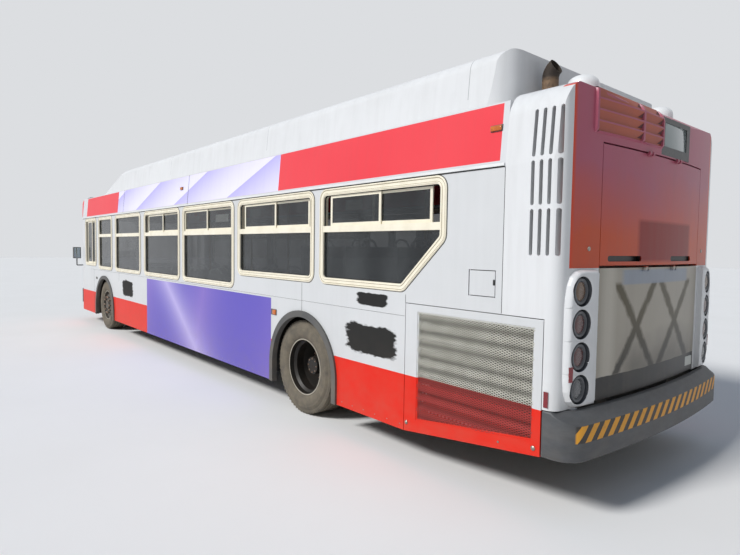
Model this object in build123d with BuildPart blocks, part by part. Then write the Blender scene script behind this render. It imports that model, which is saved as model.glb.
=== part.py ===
import os
from math import cos, radians, sin

from build123d import *

os.makedirs("parts", exist_ok=True)

# A forty-foot low-floor city bus. Millimetres, X forward, Y to its left, Z up, ground at Z = 0.
length = 12770.0
width = 2590.0
half = width / 2
wheelbase = 7440.0
rear_overhang = 3181.0
rear_axle_x = rear_overhang - length / 2
front_axle_x = rear_axle_x + wheelbase
wall = 60.0
inner_y = half - wall
seat_gap = 0.4
door_gap = 6.0

# Levels above the ground
skirt_z = 255.0
floor_z = 380.0
floor_thick = 60.0
deck_z = 820.0
platform_z = 1330.0
service_top_z = 1325.0
belt_z = 1661.0
drip_z = 2344.0
cove_z = 2792.0
roof_z = 2862.0
cove_lean = 39.0
cove_y = half - cove_lean

# Ends of the body and the panel seams along it
bumper_reach = 126.0
nose_gap = 45.0
rear_face_x = bumper_reach - length / 2
front_face_x = length / 2 - nose_gap
cap_seam_x = rear_face_x + 510.0
corner_seam_x = rear_face_x + 174.0
radiator_door_length = 1290.0
radiator_x = corner_seam_x + radiator_door_length
mask_x = front_axle_x + 1749.0

# Bow and corner radii of the two ends, in plan
end_bow = 88.0
rear_corner_r = 80.0
front_corner_r = 320.0
roof_corner_r = 200.0
screen_z = 1230.0
screen_rake = 150.0
bow_clear = 2.0

# Wheels
tyre_r = 499.0
tyre_w = 305.0
tyre_out_y = half - 33.0
rim_r = 292.0
dual_gap = 40.0
axle_z = tyre_r


def write(piece, name):
    piece.part.label = name
    export_step(piece.part, "parts/" + name + ".step")


def side_plane(side, depth=0.0):
    return Plane.XZ.offset(-side * (half - depth))


def end_curve(x, sign, inset):
    # One bowed end of the plan, from the right side to the left
    y = half - inset
    return ThreePointArc((x - sign * (end_bow + inset), -y), (x - sign * inset, 0), (x - sign * (end_bow + inset), y))


def body_outline(inset):
    # Plan of the whole body: straight sides, bowed ends and rounded corners
    with BuildSketch(Plane.XY) as plan:
        with BuildLine():
            front = end_curve(front_face_x, 1, inset)
            rear = end_curve(rear_face_x, -1, inset)
            Line(rear @ 0, front @ 0)
            Line(rear @ 1, front @ 1)
        make_face()
        fillet(plan.vertices().group_by(Axis.X)[-1], front_corner_r - inset)
        fillet(plan.vertices().group_by(Axis.X)[0], rear_corner_r - inset)
    return plan.sketch


def cap_section(inset):
    # Section of the two moulded ends: upright sides, leaning cove and a wide roof radius
    top = roof_z - inset
    lean = cove_lean * (top - drip_z) / (cove_z - drip_z)
    with BuildSketch(Plane.YZ) as section:
        with BuildLine():
            Polyline((-half + inset + lean, top), (-half + inset, drip_z), (-half + inset, 0),
                     (half - inset, 0), (half - inset, drip_z), (half - inset - lean, top), close=True)
        make_face()
        fillet(section.vertices().group_by(Axis.Z)[-1], roof_corner_r - inset)
    return section.sketch


def nose_profile(inset):
    # Side view: upright rear, raked windscreen and rounded roof edges
    front = front_face_x - inset + bow_clear
    rear = rear_face_x + inset - bow_clear
    top = roof_z - inset
    with BuildSketch(Plane.XZ) as profile:
        with BuildLine():
            Polyline((rear, 0), (rear, top), (front - screen_rake, top), (front, screen_z), (front, 0), close=True)
        make_face()
        fillet(profile.vertices().group_by(Axis.Z)[-1], 130.0 - inset)
    return profile.sketch


def envelope(inset):
    # The outside of the bus as a solid, drawn in from the skin by inset
    with BuildPart() as body:
        extrude(body_outline(inset), amount=roof_z)
        extrude(cap_section(inset), amount=length, both=True, mode=Mode.INTERSECT)
        extrude(nose_profile(inset), amount=width, both=True, mode=Mode.INTERSECT)
    return body.part


outer_body = envelope(0.0)
inner_body = envelope(wall)

# Windows: front edge, length, sill height and kind, from the driver's window to the rear
window_top = 2335.0
low_sill = 1240.0
high_sill = 1410.0
frame_w = 65.0
frame_r = 105.0
frame_proud = 7.0
transom_z = 1947.0
transom_h = 60.0
glass_t = 6.0
glass_bite = 8.0
sash_w = 28.0
sash_t = 12.0
slant_x = 461.0
slant_z = 432.0
first_window_x = front_axle_x + 385.0
left_windows = [
    # start behind the first window's front edge, length, sill, kind, sash openings fore and aft
    (-1104.0, 915.0, 1290.0, "sash", 120.0, 0.0),
    (0.0, 1000.0, low_sill, "fixed", 0.0, 0.0),
    (1216.0, 1522.0, low_sill, "fixed", 0.0, 0.0),
    (2921.0, 1613.0, low_sill, "slider", 130.0, 60.0),
    (4647.0, 1674.0, low_sill, "slider", 0.0, 50.0),
    (6420.0, 1666.0, high_sill, "slider", 90.0, 60.0),
    (8181.0, 1669.0, high_sill, "slant", 95.0, 110.0),
]
right_windows = [
    (0.0, 1000.0, low_sill, "fixed", 0.0, 0.0),
    (1216.0, 1522.0, low_sill, "fixed", 0.0, 0.0),
    (2921.0, 1613.0, low_sill, "slider", 0.0, 0.0),
    (4647.0, 1050.0, low_sill, "fixed", 0.0, 0.0),
    (7186.0, 900.0, high_sill, "fixed", 0.0, 0.0),
    (8181.0, 1669.0, high_sill, "slant", 0.0, 0.0),
]
sides = ((1, left_windows), (-1, right_windows))


def window_outline(window, inset, low=None, high=None):
    # Rounded outline of one window in side view, drawn in by inset and cut to a range of heights
    start, span, sill, kind = window[:4]
    front = first_window_x - start
    rear = front - span
    with BuildSketch(Plane.XZ) as outline:
        with BuildLine():
            if kind == "slant":
                Polyline((front, sill), (front, window_top), (rear, window_top), (rear, sill + slant_z),
                         (rear + slant_x, sill), close=True)
            else:
                Polyline((front, sill), (front, window_top), (rear, window_top), (rear, sill), close=True)
        make_face()
        if inset:
            offset(amount=-inset, kind=Kind.INTERSECTION)
        fillet(outline.vertices(), frame_r - inset)
        if low is not None:
            with Locations(((front + rear) / 2, (low + high) / 2)):
                Rectangle(span, high - low, mode=Mode.INTERSECT)
    return outline.sketch


def panes(window):
    # Height ranges of the fixed panes of one window, each let into the frame by its bite
    start, span, sill, kind = window[:4]
    low = transom_z - transom_h / 2 + glass_bite
    high = transom_z + transom_h / 2 - glass_bite
    if kind == "sash":
        return []
    if kind == "fixed":
        return [(sill, low), (high, window_top)]
    return [(sill, low)]


def sashes(window):
    # Sliding sashes as front edge, rear edge, bottom, top and track
    start, span, sill, kind, fore, aft = window
    if kind == "fixed":
        return []
    front = first_window_x - start - frame_w
    rear = front - span + 2 * frame_w
    bottom = (sill + frame_w) if kind == "sash" else transom_z + transom_h / 2
    top = window_top - frame_w
    middle = (front + rear) / 2
    lap = sash_w / 2
    return [(front - fore, middle - lap - fore / 2, bottom, top, 0), (middle + lap + aft / 2, rear + aft, bottom, top, 1)]


# Wheel arches: axle, half width and crown height of the outer edge of the rubber
arch_lip = 65.0
arch_seat = 25.0
arches = [(front_axle_x - 36.0, 685.0, 1112.0), (rear_axle_x - 36.0, 625.0, 1106.0)]

# Passenger doors on the right: front edge, width, top and number of leaves
door_z = 300.0
door_top = 2290.0
door_t = 37.0
front_door_x = front_axle_x + 1689.0
front_door_w = 940.0
rear_door_x = rear_axle_x + 1994.0
rear_door_w = 1240.0
pin_r = 10.0
pin_long = 25.0
pin_fit = 0.3

# Service doors and the small hatch
rear_rise = 162.0
hatch_x = rear_face_x + 807.0
hatch_w = 241.0
hatch_z = 1434.0
hatch_h = 191.0
hatch_t = 10.0
hatch_pin_r = 3.0
flap_r = 5.0


def arch_shape(arch, inset):
    centre, reach, crown = arch
    r = reach - inset
    z = crown - reach
    with BuildSketch(Plane.XZ) as shape:
        with Locations((centre, z)):
            Circle(r)
        with Locations((centre, z / 2)):
            Rectangle(2 * r, z)
    return shape.sketch


def side_wall(side, windows, has_doors):
    # One side of the body, the full thickness of skin, frame and lining
    low_end = corner_seam_x if has_doors else radiator_x
    with BuildPart() as panel:
        with BuildSketch(side_plane(side)) as face:
            with BuildLine():
                corners = [(mask_x, skirt_z), (mask_x, drip_z), (cap_seam_x, drip_z), (cap_seam_x, service_top_z)]
                if has_doors:
                    corners += [(corner_seam_x, service_top_z), (corner_seam_x, skirt_z + rear_rise)]
                corners += [(radiator_x, service_top_z)] if not has_doors else []
                corners += [(radiator_x, skirt_z)]
                Polyline(*corners, close=True)
            make_face()
            for window in windows:
                add(window_outline(window, 0.0), mode=Mode.SUBTRACT)
            for arch in arches:
                add(arch_shape(arch, arch_seat), mode=Mode.SUBTRACT)
            if has_doors:
                for x, span in ((front_door_x, front_door_w), (rear_door_x, rear_door_w)):
                    with Locations((x - span / 2, (door_z + door_top) / 2)):
                        Rectangle(span, door_top - door_z, mode=Mode.SUBTRACT)
        extrude(amount=side * wall)
        if has_doors:
            # sockets of the door spindles, in the sill and the header
            for x in spindle_places:
                for z in (door_z - pin_long, door_top):
                    with BuildSketch(Plane.XY.offset(z - seat_gap * (z < door_top))):
                        with Locations((x, -half + wall / 2)):
                            Circle(pin_r + pin_fit)
                    extrude(amount=pin_long + seat_gap, mode=Mode.SUBTRACT)
        else:
            # recess of the filler hatch, with its hinge sockets
            with BuildSketch(side_plane(side)):
                with Locations((hatch_x - hatch_w / 2, hatch_z + hatch_h / 2)):
                    Rectangle(hatch_w, hatch_h)
            extrude(amount=side * (wall - 15.0), mode=Mode.SUBTRACT)
            for z in (hatch_z - 8.0, hatch_z + hatch_h):
                with BuildSketch(Plane.XY.offset(z)):
                    with Locations((hatch_x - door_gap - hatch_t / 2, half - hatch_t / 2)):
                        Circle(hatch_pin_r + pin_fit)
                extrude(amount=8.0, mode=Mode.SUBTRACT)
            # socket of the radiator door's top hinge
            with BuildSketch(Plane.YZ.offset(radiator_x)):
                with Locations((half - flap_r, service_top_z - door_gap - flap_r)):
                    Circle(hatch_pin_r + pin_fit)
            extrude(amount=20.0, mode=Mode.SUBTRACT)
    return panel


# Spindles of the four door leaves, each half a leaf's thickness in from its jamb
spindle_in = door_gap + door_t / 2
spindle_places = (front_door_x - spindle_in, front_door_x - front_door_w + spindle_in,
                  rear_door_x - spindle_in, rear_door_x - rear_door_w + spindle_in)

left_wall = side_wall(1, left_windows, False)
write(left_wall, "left_wall")
right_wall = side_wall(-1, right_windows, True)
write(right_wall, "right_wall")

# Cove panels between the drip rail and the roof
with BuildPart() as cove_panels:
    for side in (1, -1):
        with BuildSketch(Plane.YZ.offset(cap_seam_x)):
            with BuildLine():
                Polyline((side * half, drip_z), (side * cove_y, cove_z), (side * (cove_y - wall), cove_z),
                         (side * (half - wall), drip_z), close=True)
            make_face()
        extrude(amount=mask_x - cap_seam_x)
write(cove_panels, "cove_panels")

# Roof skin and ceiling
with BuildPart() as roof:
    with BuildSketch(Plane.YZ.offset(cap_seam_x)):
        with BuildLine():
            ThreePointArc((-cove_y, cove_z), (0, roof_z), (cove_y, cove_z))
            Line((cove_y, cove_z), (cove_y - wall, cove_z))
            ThreePointArc((cove_y - wall, cove_z), (0, roof_z - wall), (wall - cove_y, cove_z))
            Line((wall - cove_y, cove_z), (-cove_y, cove_z))
        make_face()
    extrude(amount=mask_x - cap_seam_x)
write(roof, "roof")

# Moulded rear cap with its upper door opening, sign opening and side louvres
upper_door_half = 870.0
upper_door_top = 2500.0
sign_y = -225.0
sign_w = 550.0
sign_z = 2655.0
sign_h = 290.0
slot_pitch = 62.0
slot_w = 26.0
slot_x = cap_seam_x - 216.0
slot_rows = ((1735.0, 2040.0), (2064.0, 2356.0), (2380.0, 2690.0))
crossbar_x = rear_face_x + wall + 75.0
lug_y = 250.0
lug_out = 14.0
lug_pin_r = 5.0
lug_w = 30.0
lug_plate = 3.0
knuckle_r = 9.0
knuckle_w = 24.0
pin_drop = 14.0


def hinge_lugs(z, reach, rise):
    # Two hinge lugs that reach out through a seam, each with a pin across its end
    with BuildPart() as lugs:
        for y in (-lug_y, lug_y):
            with Locations((rear_face_x - lug_out - lug_plate / 2, y, z + rise)):
                Box(reach, lug_w, lug_plate, align=(Align.MIN, Align.CENTER, Align.CENTER))
            with Locations((rear_face_x - lug_out, y, z)):
                Box(lug_plate, lug_w, rise + lug_plate / 2, align=(Align.CENTER, Align.CENTER, Align.MIN))
            with BuildSketch(Plane.XZ.offset(-y - lug_w / 2 - knuckle_w - 1.0)):
                with Locations((rear_face_x - lug_out, z)):
                    Circle(lug_pin_r)
            extrude(amount=lug_w + 2 * knuckle_w + 2.0)
    return lugs.part


def door_knuckles(z):
    # Knuckles of a rear door, round the lugs' pins
    with BuildPart() as knuckles:
        for y in (-lug_y, lug_y):
            for end in (-1, 1):
                start = y + end * (lug_w / 2 + 1.0)
                with BuildSketch(Plane.XZ.offset(-start)):
                    with Locations((rear_face_x - lug_out, z)):
                        Circle(knuckle_r)
                    with Locations((rear_face_x - lug_out + 9.0, z - knuckle_r - 4.0)):
                        Rectangle(26.0, 14.0)
                    with Locations((rear_face_x - lug_out, z - knuckle_r / 2 - 3.0)):
                        Rectangle(2 * knuckle_r, knuckle_r + 6.0)
                    with Locations((rear_face_x - lug_out, z)):
                        Circle(lug_pin_r + pin_fit, mode=Mode.SUBTRACT)
                extrude(amount=-end * knuckle_w)
    return knuckles.part


with BuildPart() as rear_cap:
    add(outer_body)
    add(inner_body, mode=Mode.SUBTRACT)
    with Locations((cap_seam_x - 500.0, 0, (belt_z + roof_z) / 2 + 50.0)):
        Box(1000.0, width, roof_z - belt_z + 100.0, mode=Mode.INTERSECT)
    with Locations((rear_face_x, 0, (belt_z + upper_door_top) / 2)):
        Box(400.0, 2 * upper_door_half, upper_door_top - belt_z, mode=Mode.SUBTRACT)
    with Locations((rear_face_x, sign_y, sign_z)):
        Box(200.0, sign_w, sign_h, mode=Mode.SUBTRACT)
    with BuildSketch(Plane.XZ.offset(-half - 5.0)):
        for low, high in slot_rows:
            with Locations((slot_x - 1.5 * slot_pitch, (low + high) / 2)):
                with GridLocations(slot_pitch, 1.0, 4, 1):
                    SlotOverall(high - low, slot_w, rotation=90)
    extrude(amount=wall + 60.0, mode=Mode.SUBTRACT)
    # crossbars that carry the hinges of the two rear doors
    with Locations((crossbar_x, 0, belt_z)):
        Box(50.0, 2 * inner_y + 20.0, 50.0, align=(Align.MIN, Align.CENTER, Align.MIN))
    add(hinge_lugs(upper_door_top - door_gap, lug_out + wall / 2, 0.0))
    for y in (-lug_y, lug_y):
        with Locations((rear_face_x + wall / 4, y, upper_door_top - door_gap)):
            Box(wall / 2, lug_w, door_gap + 4.0, align=(Align.MIN, Align.CENTER, Align.MIN))
    add(hinge_lugs(belt_z - pin_drop, crossbar_x - rear_face_x + lug_out + 10.0, pin_drop + 1.0))
write(rear_cap, "rear_cap")

# Lower rear corners, from the bumper to the belt seam, with the lamp sockets
bumper_top = 730.0
engine_door_half = 870.0
lamp_r = 92.0
lamp_y = 1100.0
lamp_first_z = 866.0
lamp_pitch = 214.0
lamp_count = 4
lamp_face_x = rear_face_x + 64.0
lamp_proud = 22.0
lamp_depth = 40.0
with BuildPart() as rear_corners:
    add(outer_body)
    add(inner_body, mode=Mode.SUBTRACT)
    with Locations((cap_seam_x - 500.0, 0, (bumper_top + 4.0 + belt_z) / 2)):
        Box(1000.0, width, belt_z - bumper_top - 4.0, mode=Mode.INTERSECT)
    with Locations((rear_face_x, 0, belt_z / 2)):
        Box(1200.0, 2 * engine_door_half, belt_z, mode=Mode.SUBTRACT)
    with Locations((corner_seam_x + 500.0, 0, service_top_z / 2)):
        Box(1000.0, 2 * width, service_top_z, mode=Mode.SUBTRACT)
    for side in (1, -1):
        with BuildSketch(Plane.YZ.offset(rear_face_x)):
            with Locations((side * lamp_y, lamp_first_z + 1.5 * lamp_pitch)):
                with GridLocations(1.0, lamp_pitch, 1, lamp_count):
                    Circle(lamp_r + seat_gap)
        extrude(amount=200.0, mode=Mode.SUBTRACT)
    # socket of the radiator door's top hinge
    with BuildSketch(Plane.YZ.offset(corner_seam_x)):
        with Locations((half - flap_r, service_top_z - door_gap - flap_r)):
            Circle(hatch_pin_r + pin_fit)
    extrude(amount=-20.0, mode=Mode.SUBTRACT)
write(rear_corners, "rear_corners")

# Round lamps in the rear corners
with BuildPart() as tail_lamps:
    for side in (1, -1):
        with BuildSketch(Plane.YZ.offset(lamp_face_x - lamp_proud)):
            with Locations((side * lamp_y, lamp_first_z + 1.5 * lamp_pitch)):
                with GridLocations(1.0, lamp_pitch, 1, lamp_count):
                    Circle(lamp_r)
        extrude(amount=lamp_proud + lamp_depth)
    chamfer(tail_lamps.faces().sort_by(Axis.X)[:8].edges(), 10.0)
write(tail_lamps, "tail_lamps")

# Bowed panels of the two rear doors
engine_door_z = bumper_top + 16.0
with BuildPart() as engine_door:
    add(outer_body)
    add(inner_body, mode=Mode.SUBTRACT)
    with Locations((rear_face_x, 0, (engine_door_z + belt_z - door_gap) / 2)):
        Box(400.0, 2 * (engine_door_half - door_gap), belt_z - door_gap - engine_door_z, mode=Mode.INTERSECT)
    add(door_knuckles(belt_z - pin_drop))
write(engine_door, "engine_door")

with BuildPart() as upper_door:
    add(outer_body)
    add(inner_body, mode=Mode.SUBTRACT)
    with Locations((rear_face_x, 0, (belt_z + upper_door_top) / 2)):
        Box(400.0, 2 * (upper_door_half - door_gap), upper_door_top - belt_z - 4 * door_gap, mode=Mode.INTERSECT)
    with BuildSketch(Plane.YZ.offset(rear_face_x - 5.0)):
        with Locations((540.0, 1720.0), (-440.0, 1720.0)):
            SlotOverall(460.0, 40.0)
    extrude(amount=45.0, mode=Mode.SUBTRACT)
    add(door_knuckles(upper_door_top - door_gap))
write(upper_door, "upper_door")

# Rear destination sign in the cap, and the front one hung behind its glass
front_sign_z = 2530.0
front_sign_h = 270.0
with BuildPart() as destination_signs:
    with Locations((rear_face_x + 40.0, sign_y, sign_z)):
        Box(70.0, sign_w - 2 * seat_gap, sign_h - 2 * seat_gap)
    with Locations((rear_face_x + 5.0, sign_y, sign_z + 15.0)):
        Box(10.0, sign_w - 130.0, sign_h - 110.0, mode=Mode.SUBTRACT)
    with Locations((front_face_x - 330.0, 0, front_sign_z)):
        Box(120.0, 1700.0, front_sign_h)
    with Locations((front_face_x - 310.0, -600.0, roof_z - wall), (front_face_x - 310.0, 600.0, roof_z - wall)):
        Box(60.0, 40.0, roof_z - wall - front_sign_z, align=(Align.CENTER, Align.CENTER, Align.MAX))
write(destination_signs, "destination_signs")


# Radiator door on the left rear, its bottom edge rising to the rear
def rise_at(x):
    return skirt_z + rear_rise * (radiator_x - x) / radiator_door_length


mesh_front = radiator_x - 153.0
mesh_rear = corner_seam_x + 77.0
mesh_top = 1250.0
mesh_low = 112.0
mesh_t = 3.0
door_front = radiator_x - door_gap
door_rear = corner_seam_x + door_gap
slat_count = 12
slat_t = 4.0
slat_depth = 40.0


def mesh_outline(grow):
    with BuildSketch(side_plane(1)) as outline:
        with BuildLine():
            Polyline((mesh_front + grow, mesh_top + grow), (mesh_rear - grow, mesh_top + grow),
                     (mesh_rear - grow, rise_at(mesh_rear) + mesh_low - grow),
                     (mesh_front + grow, rise_at(mesh_front) + mesh_low - grow), close=True)
        make_face()
    return outline.sketch


with BuildPart() as radiator_door:
    with BuildSketch(side_plane(1)):
        with BuildLine():
            Polyline((door_front, service_top_z - door_gap - 35.0), (door_rear, service_top_z - door_gap - 35.0),
                     (door_rear, rise_at(door_rear)), (door_front, rise_at(door_front)), close=True)
        make_face()
    extrude(amount=wall)
    # thin hinge flange along the top, rounded about its pins
    with BuildSketch(Plane.YZ.offset(door_rear)):
        with Locations((half - flap_r, service_top_z - door_gap - flap_r)):
            Circle(flap_r)
        with Locations((half - flap_r, service_top_z - door_gap - flap_r - 17.0)):
            Rectangle(2 * flap_r, 34.0)
    extrude(amount=door_front - door_rear)
    with BuildSketch(Plane.YZ.offset(door_rear - door_gap - 18.0)):
        with Locations((half - flap_r, service_top_z - door_gap - flap_r)):
            Circle(hatch_pin_r)
    extrude(amount=door_front - door_rear + 2 * (door_gap + 18.0))
    extrude(mesh_outline(0.0), amount=wall, mode=Mode.SUBTRACT)
    extrude(mesh_outline(12.0), amount=mesh_t + 2.0, mode=Mode.SUBTRACT)
write(radiator_door, "radiator_door")

with BuildPart() as radiator_mesh:
    extrude(mesh_outline(12.0 - seat_gap), amount=mesh_t + 2.0)
    with Locations((0, half, 0)):
        Box(length, 2.0, 4000.0, align=(Align.CENTER, Align.MAX, Align.CENTER), mode=Mode.SUBTRACT)
write(radiator_mesh, "radiator_mesh")

# Sloping louvre blades behind the mesh, between the door's two posts
with BuildPart() as radiator_louvres:
    pitch = (mesh_top - rise_at(mesh_front) - mesh_low) / slat_count
    for row in range(slat_count):
        z = mesh_top - (row + 0.5) * pitch
        with BuildSketch(Plane.YZ.offset(mesh_rear + seat_gap)):
            with BuildLine():
                Polyline((half - 14.0, z - 22.0), (half - 14.0, z - 22.0 + slat_t),
                         (half - 14.0 - slat_depth, z + 22.0 + slat_t), (half - 14.0 - slat_depth, z + 22.0),
                         close=True)
            make_face()
        extrude(amount=mesh_front - mesh_rear - 2 * seat_gap)
    with BuildSketch(side_plane(1)):
        with BuildLine():
            Polyline((mesh_front + 1.0, mesh_top + 40.0), (mesh_front + 1.0, rise_at(mesh_front) + mesh_low + seat_gap),
                     (mesh_rear - 1.0, rise_at(mesh_rear) + mesh_low + seat_gap), (mesh_rear - 1.0, mesh_top + 40.0),
                     close=True)
        make_face()
    extrude(amount=wall, mode=Mode.INTERSECT)
write(radiator_louvres, "radiator_louvres")

# Filler hatch
with BuildPart() as hatch:
    with BuildSketch(Plane.XY.offset(hatch_z + door_gap)):
        with Locations((hatch_x - door_gap - hatch_t / 2, half - hatch_t / 2)):
            Circle(hatch_t / 2)
        with Locations((hatch_x - hatch_w / 2 - hatch_t / 4, half - hatch_t / 2)):
            Rectangle(hatch_w - 2 * door_gap - hatch_t / 2, hatch_t)
    extrude(amount=hatch_h - 2 * door_gap)
    with BuildSketch(Plane.XY.offset(hatch_z - 7.0)):
        with Locations((hatch_x - door_gap - hatch_t / 2, half - hatch_t / 2)):
            Circle(hatch_pin_r)
    extrude(amount=hatch_h + 14.0)
write(hatch, "hatch")

# Window frames with their transoms and mullions, grooved for the glass
with BuildPart() as window_frames:
    for side, windows in sides:
        for window in windows:
            start, span, sill, kind = window[:4]
            front = first_window_x - start
            sunk = frame_proud + 50.0
            with BuildSketch(side_plane(side, -frame_proud)):
                add(window_outline(window, seat_gap))
                add(window_outline(window, frame_w), mode=Mode.SUBTRACT)
                if kind != "sash":
                    with Locations((front - span / 2, transom_z)):
                        Rectangle(span - frame_w, transom_h)
            extrude(amount=side * sunk)
    for side, windows in sides:
        for window in windows:
            for low, high in panes(window):
                with BuildSketch(side_plane(side, 18.0 - seat_gap)):
                    add(window_outline(window, frame_w - glass_bite - seat_gap, low - seat_gap, high + seat_gap))
                extrude(amount=side * (glass_t + 2 * seat_gap), mode=Mode.SUBTRACT)
write(window_frames, "window_frames")

# Sliding sashes, each a thin frame in its own track
def sash_outline(window, sash, inset):
    front, rear, bottom, top, track = sash
    with BuildSketch(Plane.XZ) as outline:
        add(window_outline(window, frame_w + seat_gap))
        with Locations(((front + rear) / 2, (bottom + top) / 2)):
            Rectangle(front - rear - 2 * inset, top - bottom - 2 * inset, mode=Mode.INTERSECT)
    return outline.sketch


with BuildPart() as window_sashes:
    for side, windows in sides:
        for window in windows:
            for sash in sashes(window):
                with BuildSketch(side_plane(side, 12.0 + sash[4] * (sash_t + 2.0))):
                    add(sash_outline(window, sash, seat_gap))
                    add(sash_outline(window, sash, sash_w), mode=Mode.SUBTRACT)
                extrude(amount=side * sash_t)
write(window_sashes, "window_sashes")

# Panes of the side windows
with BuildPart() as window_glass:
    for side, windows in sides:
        for window in windows:
            for low, high in panes(window):
                with BuildSketch(side_plane(side, 18.0)):
                    add(window_outline(window, frame_w - glass_bite, low, high))
                extrude(amount=side * glass_t)
            for front, rear, bottom, top, track in sashes(window):
                with BuildSketch(side_plane(side, 15.0 + track * (sash_t + 2.0))):
                    with Locations(((front + rear) / 2, (bottom + top) / 2)):
                        Rectangle(front - rear - 2 * sash_w - 2 * seat_gap, top - bottom - 2 * sash_w - 2 * seat_gap)
                extrude(amount=side * glass_t)
write(window_glass, "window_glass")

# Front mask with the windscreen and headlamp openings
screen_half = 1090.0
screen_top = 2330.0
screen_bar = 45.0
screen_in = 22.0
screen_bite = 12.0
headlamp_r = 85.0
headlamp_y = 930.0
headlamp_z = 800.0


def screen_outline(grow):
    with BuildSketch(Plane.YZ) as outline:
        for side in (1, -1):
            with Locations((side * (screen_half + screen_bar / 2) / 2, (screen_z + 60.0 + screen_top) / 2)):
                RectangleRounded(screen_half - screen_bar / 2 + 2 * grow, screen_top - screen_z - 60.0 + 2 * grow, 60.0)
        with Locations((0, 2530.0)):
            RectangleRounded(2 * screen_half - 300.0 + 2 * grow, 250.0 + 2 * grow, 50.0)
    return outline.sketch


with BuildPart() as windscreen:
    extrude(screen_outline(screen_bite), amount=length)
    add(envelope(screen_in), mode=Mode.INTERSECT)
    add(envelope(screen_in + glass_t), mode=Mode.SUBTRACT)
    with Locations((mask_x, 0, 0)):
        Box(length, width, 2 * roof_z, align=(Align.MIN, Align.CENTER, Align.CENTER), mode=Mode.INTERSECT)
with BuildPart() as groove:
    extrude(screen_outline(screen_bite + seat_gap), amount=length)
    add(envelope(screen_in - seat_gap), mode=Mode.INTERSECT)
    add(envelope(screen_in + glass_t + seat_gap), mode=Mode.SUBTRACT)
write(windscreen, "windscreen")

with BuildPart() as front_mask:
    add(outer_body)
    add(inner_body, mode=Mode.SUBTRACT)
    with Locations((mask_x + 500.0, 0, skirt_z + 2000.0)):
        Box(1000.0, 2 * width, 4000.0, mode=Mode.INTERSECT)
    extrude(screen_outline(0.0), amount=length, mode=Mode.SUBTRACT)
    add(groove.part, mode=Mode.SUBTRACT)
    with BuildSketch(Plane.YZ.offset(mask_x)):
        for side in (1, -1):
            with Locations((side * headlamp_y, headlamp_z)):
                with GridLocations(2.3 * headlamp_r, 1.0, 2, 1):
                    Circle(headlamp_r + seat_gap)
    extrude(amount=1000.0, mode=Mode.SUBTRACT)
write(front_mask, "front_mask")

with BuildPart() as headlamps:
    with BuildSketch(Plane.YZ.offset(front_face_x - 150.0)):
        for side in (1, -1):
            with Locations((side * headlamp_y, headlamp_z)):
                with GridLocations(2.3 * headlamp_r, 1.0, 2, 1):
                    Circle(headlamp_r)
    extrude(amount=300.0)
    add(envelope(12.0), mode=Mode.INTERSECT)
write(headlamps, "headlamps")

# Bumpers, each bent round its end of the bus
bumper_low = 418.0
bumper_t = 110.0
bumper_r = 170.0


def bumper_plan(sign, seam, radius, inset):
    end = sign * (length / 2 - inset)
    side_end = end - sign * end_bow
    y = half - inset
    with BuildSketch(Plane.XY.offset(bumper_low)) as plan:
        with BuildLine():
            ThreePointArc((side_end, -y), (end, 0), (side_end, y))
            Polyline((side_end, y), (seam, y), (seam, -y), (side_end, -y))
        make_face()
        corners = plan.vertices().group_by(Axis.X)
        fillet(corners[-1] if sign > 0 else corners[0], radius - inset)
    return plan.sketch


rear_bumper_x = corner_seam_x - door_gap
with BuildPart() as rear_bumper:
    extrude(bumper_plan(-1, rear_bumper_x, bumper_r, 0.0), amount=bumper_top - bumper_low)
    extrude(bumper_plan(-1, rear_bumper_x + 50.0, bumper_r, bumper_t), amount=bumper_top - bumper_low, mode=Mode.SUBTRACT)
write(rear_bumper, "rear_bumper")

front_bumper_x = mask_x + 20.0
front_bumper_r = 270.0
with BuildPart() as front_bumper:
    extrude(bumper_plan(1, front_bumper_x, front_bumper_r, 0.0), amount=bumper_top - bumper_low)
    add(outer_body, mode=Mode.SUBTRACT)
write(front_bumper, "front_bumper")

# Roof fairing over the batteries and the air conditioning, hollow underneath
fairing_rear_x = cap_seam_x + 54.0
fairing_front_x = front_axle_x + 70.0
fairing_slope = 1300.0
fairing_z = 3190.0
fairing_skin = 25.0
fairing_lean = 45.0
fairing_r = 110.0
fairing_rear_r = 220.0


def fairing_block(inset):
    top = fairing_z - inset
    y = cove_y - inset
    with BuildPart() as block:
        with BuildSketch(Plane.YZ.offset(fairing_rear_x)) as section:
            with BuildLine():
                Polyline((-y, cove_z - 100.0), (-y + fairing_lean, top), (y - fairing_lean, top),
                         (y, cove_z - 100.0), close=True)
            make_face()
            fillet(section.vertices().group_by(Axis.Z)[-1], fairing_r - inset)
        extrude(amount=fairing_front_x - fairing_rear_x)
        with BuildSketch(Plane.XZ):
            with BuildLine():
                Polyline((fairing_rear_x + inset, 0), (fairing_rear_x + inset, top),
                         (fairing_front_x - fairing_slope, top), (fairing_front_x - inset, cove_z), (fairing_front_x, 0),
                         close=True)
            make_face()
        extrude(amount=width, both=True, mode=Mode.INTERSECT)
        with BuildSketch(Plane.XY) as plan:
            with BuildLine():
                Polyline((fairing_rear_x + inset, -y), (fairing_rear_x + inset, y), (fairing_front_x, y),
                         (fairing_front_x, -y), close=True)
            make_face()
            fillet(plan.vertices().group_by(Axis.X)[0], fairing_rear_r - inset)
        extrude(amount=2 * fairing_z, mode=Mode.INTERSECT)
        with BuildSketch(Plane.YZ.offset(fairing_rear_x - 10.0)):
            with BuildLine():
                ThreePointArc((-cove_y, cove_z), (0, roof_z), (cove_y, cove_z))
                Polyline((cove_y, cove_z), (cove_y + 100.0, cove_z), (cove_y + 100.0, 0), (-cove_y - 100.0, 0),
                         (-cove_y - 100.0, cove_z), (-cove_y, cove_z))
            make_face()
        extrude(amount=length, mode=Mode.SUBTRACT)
    return block.part


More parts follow.
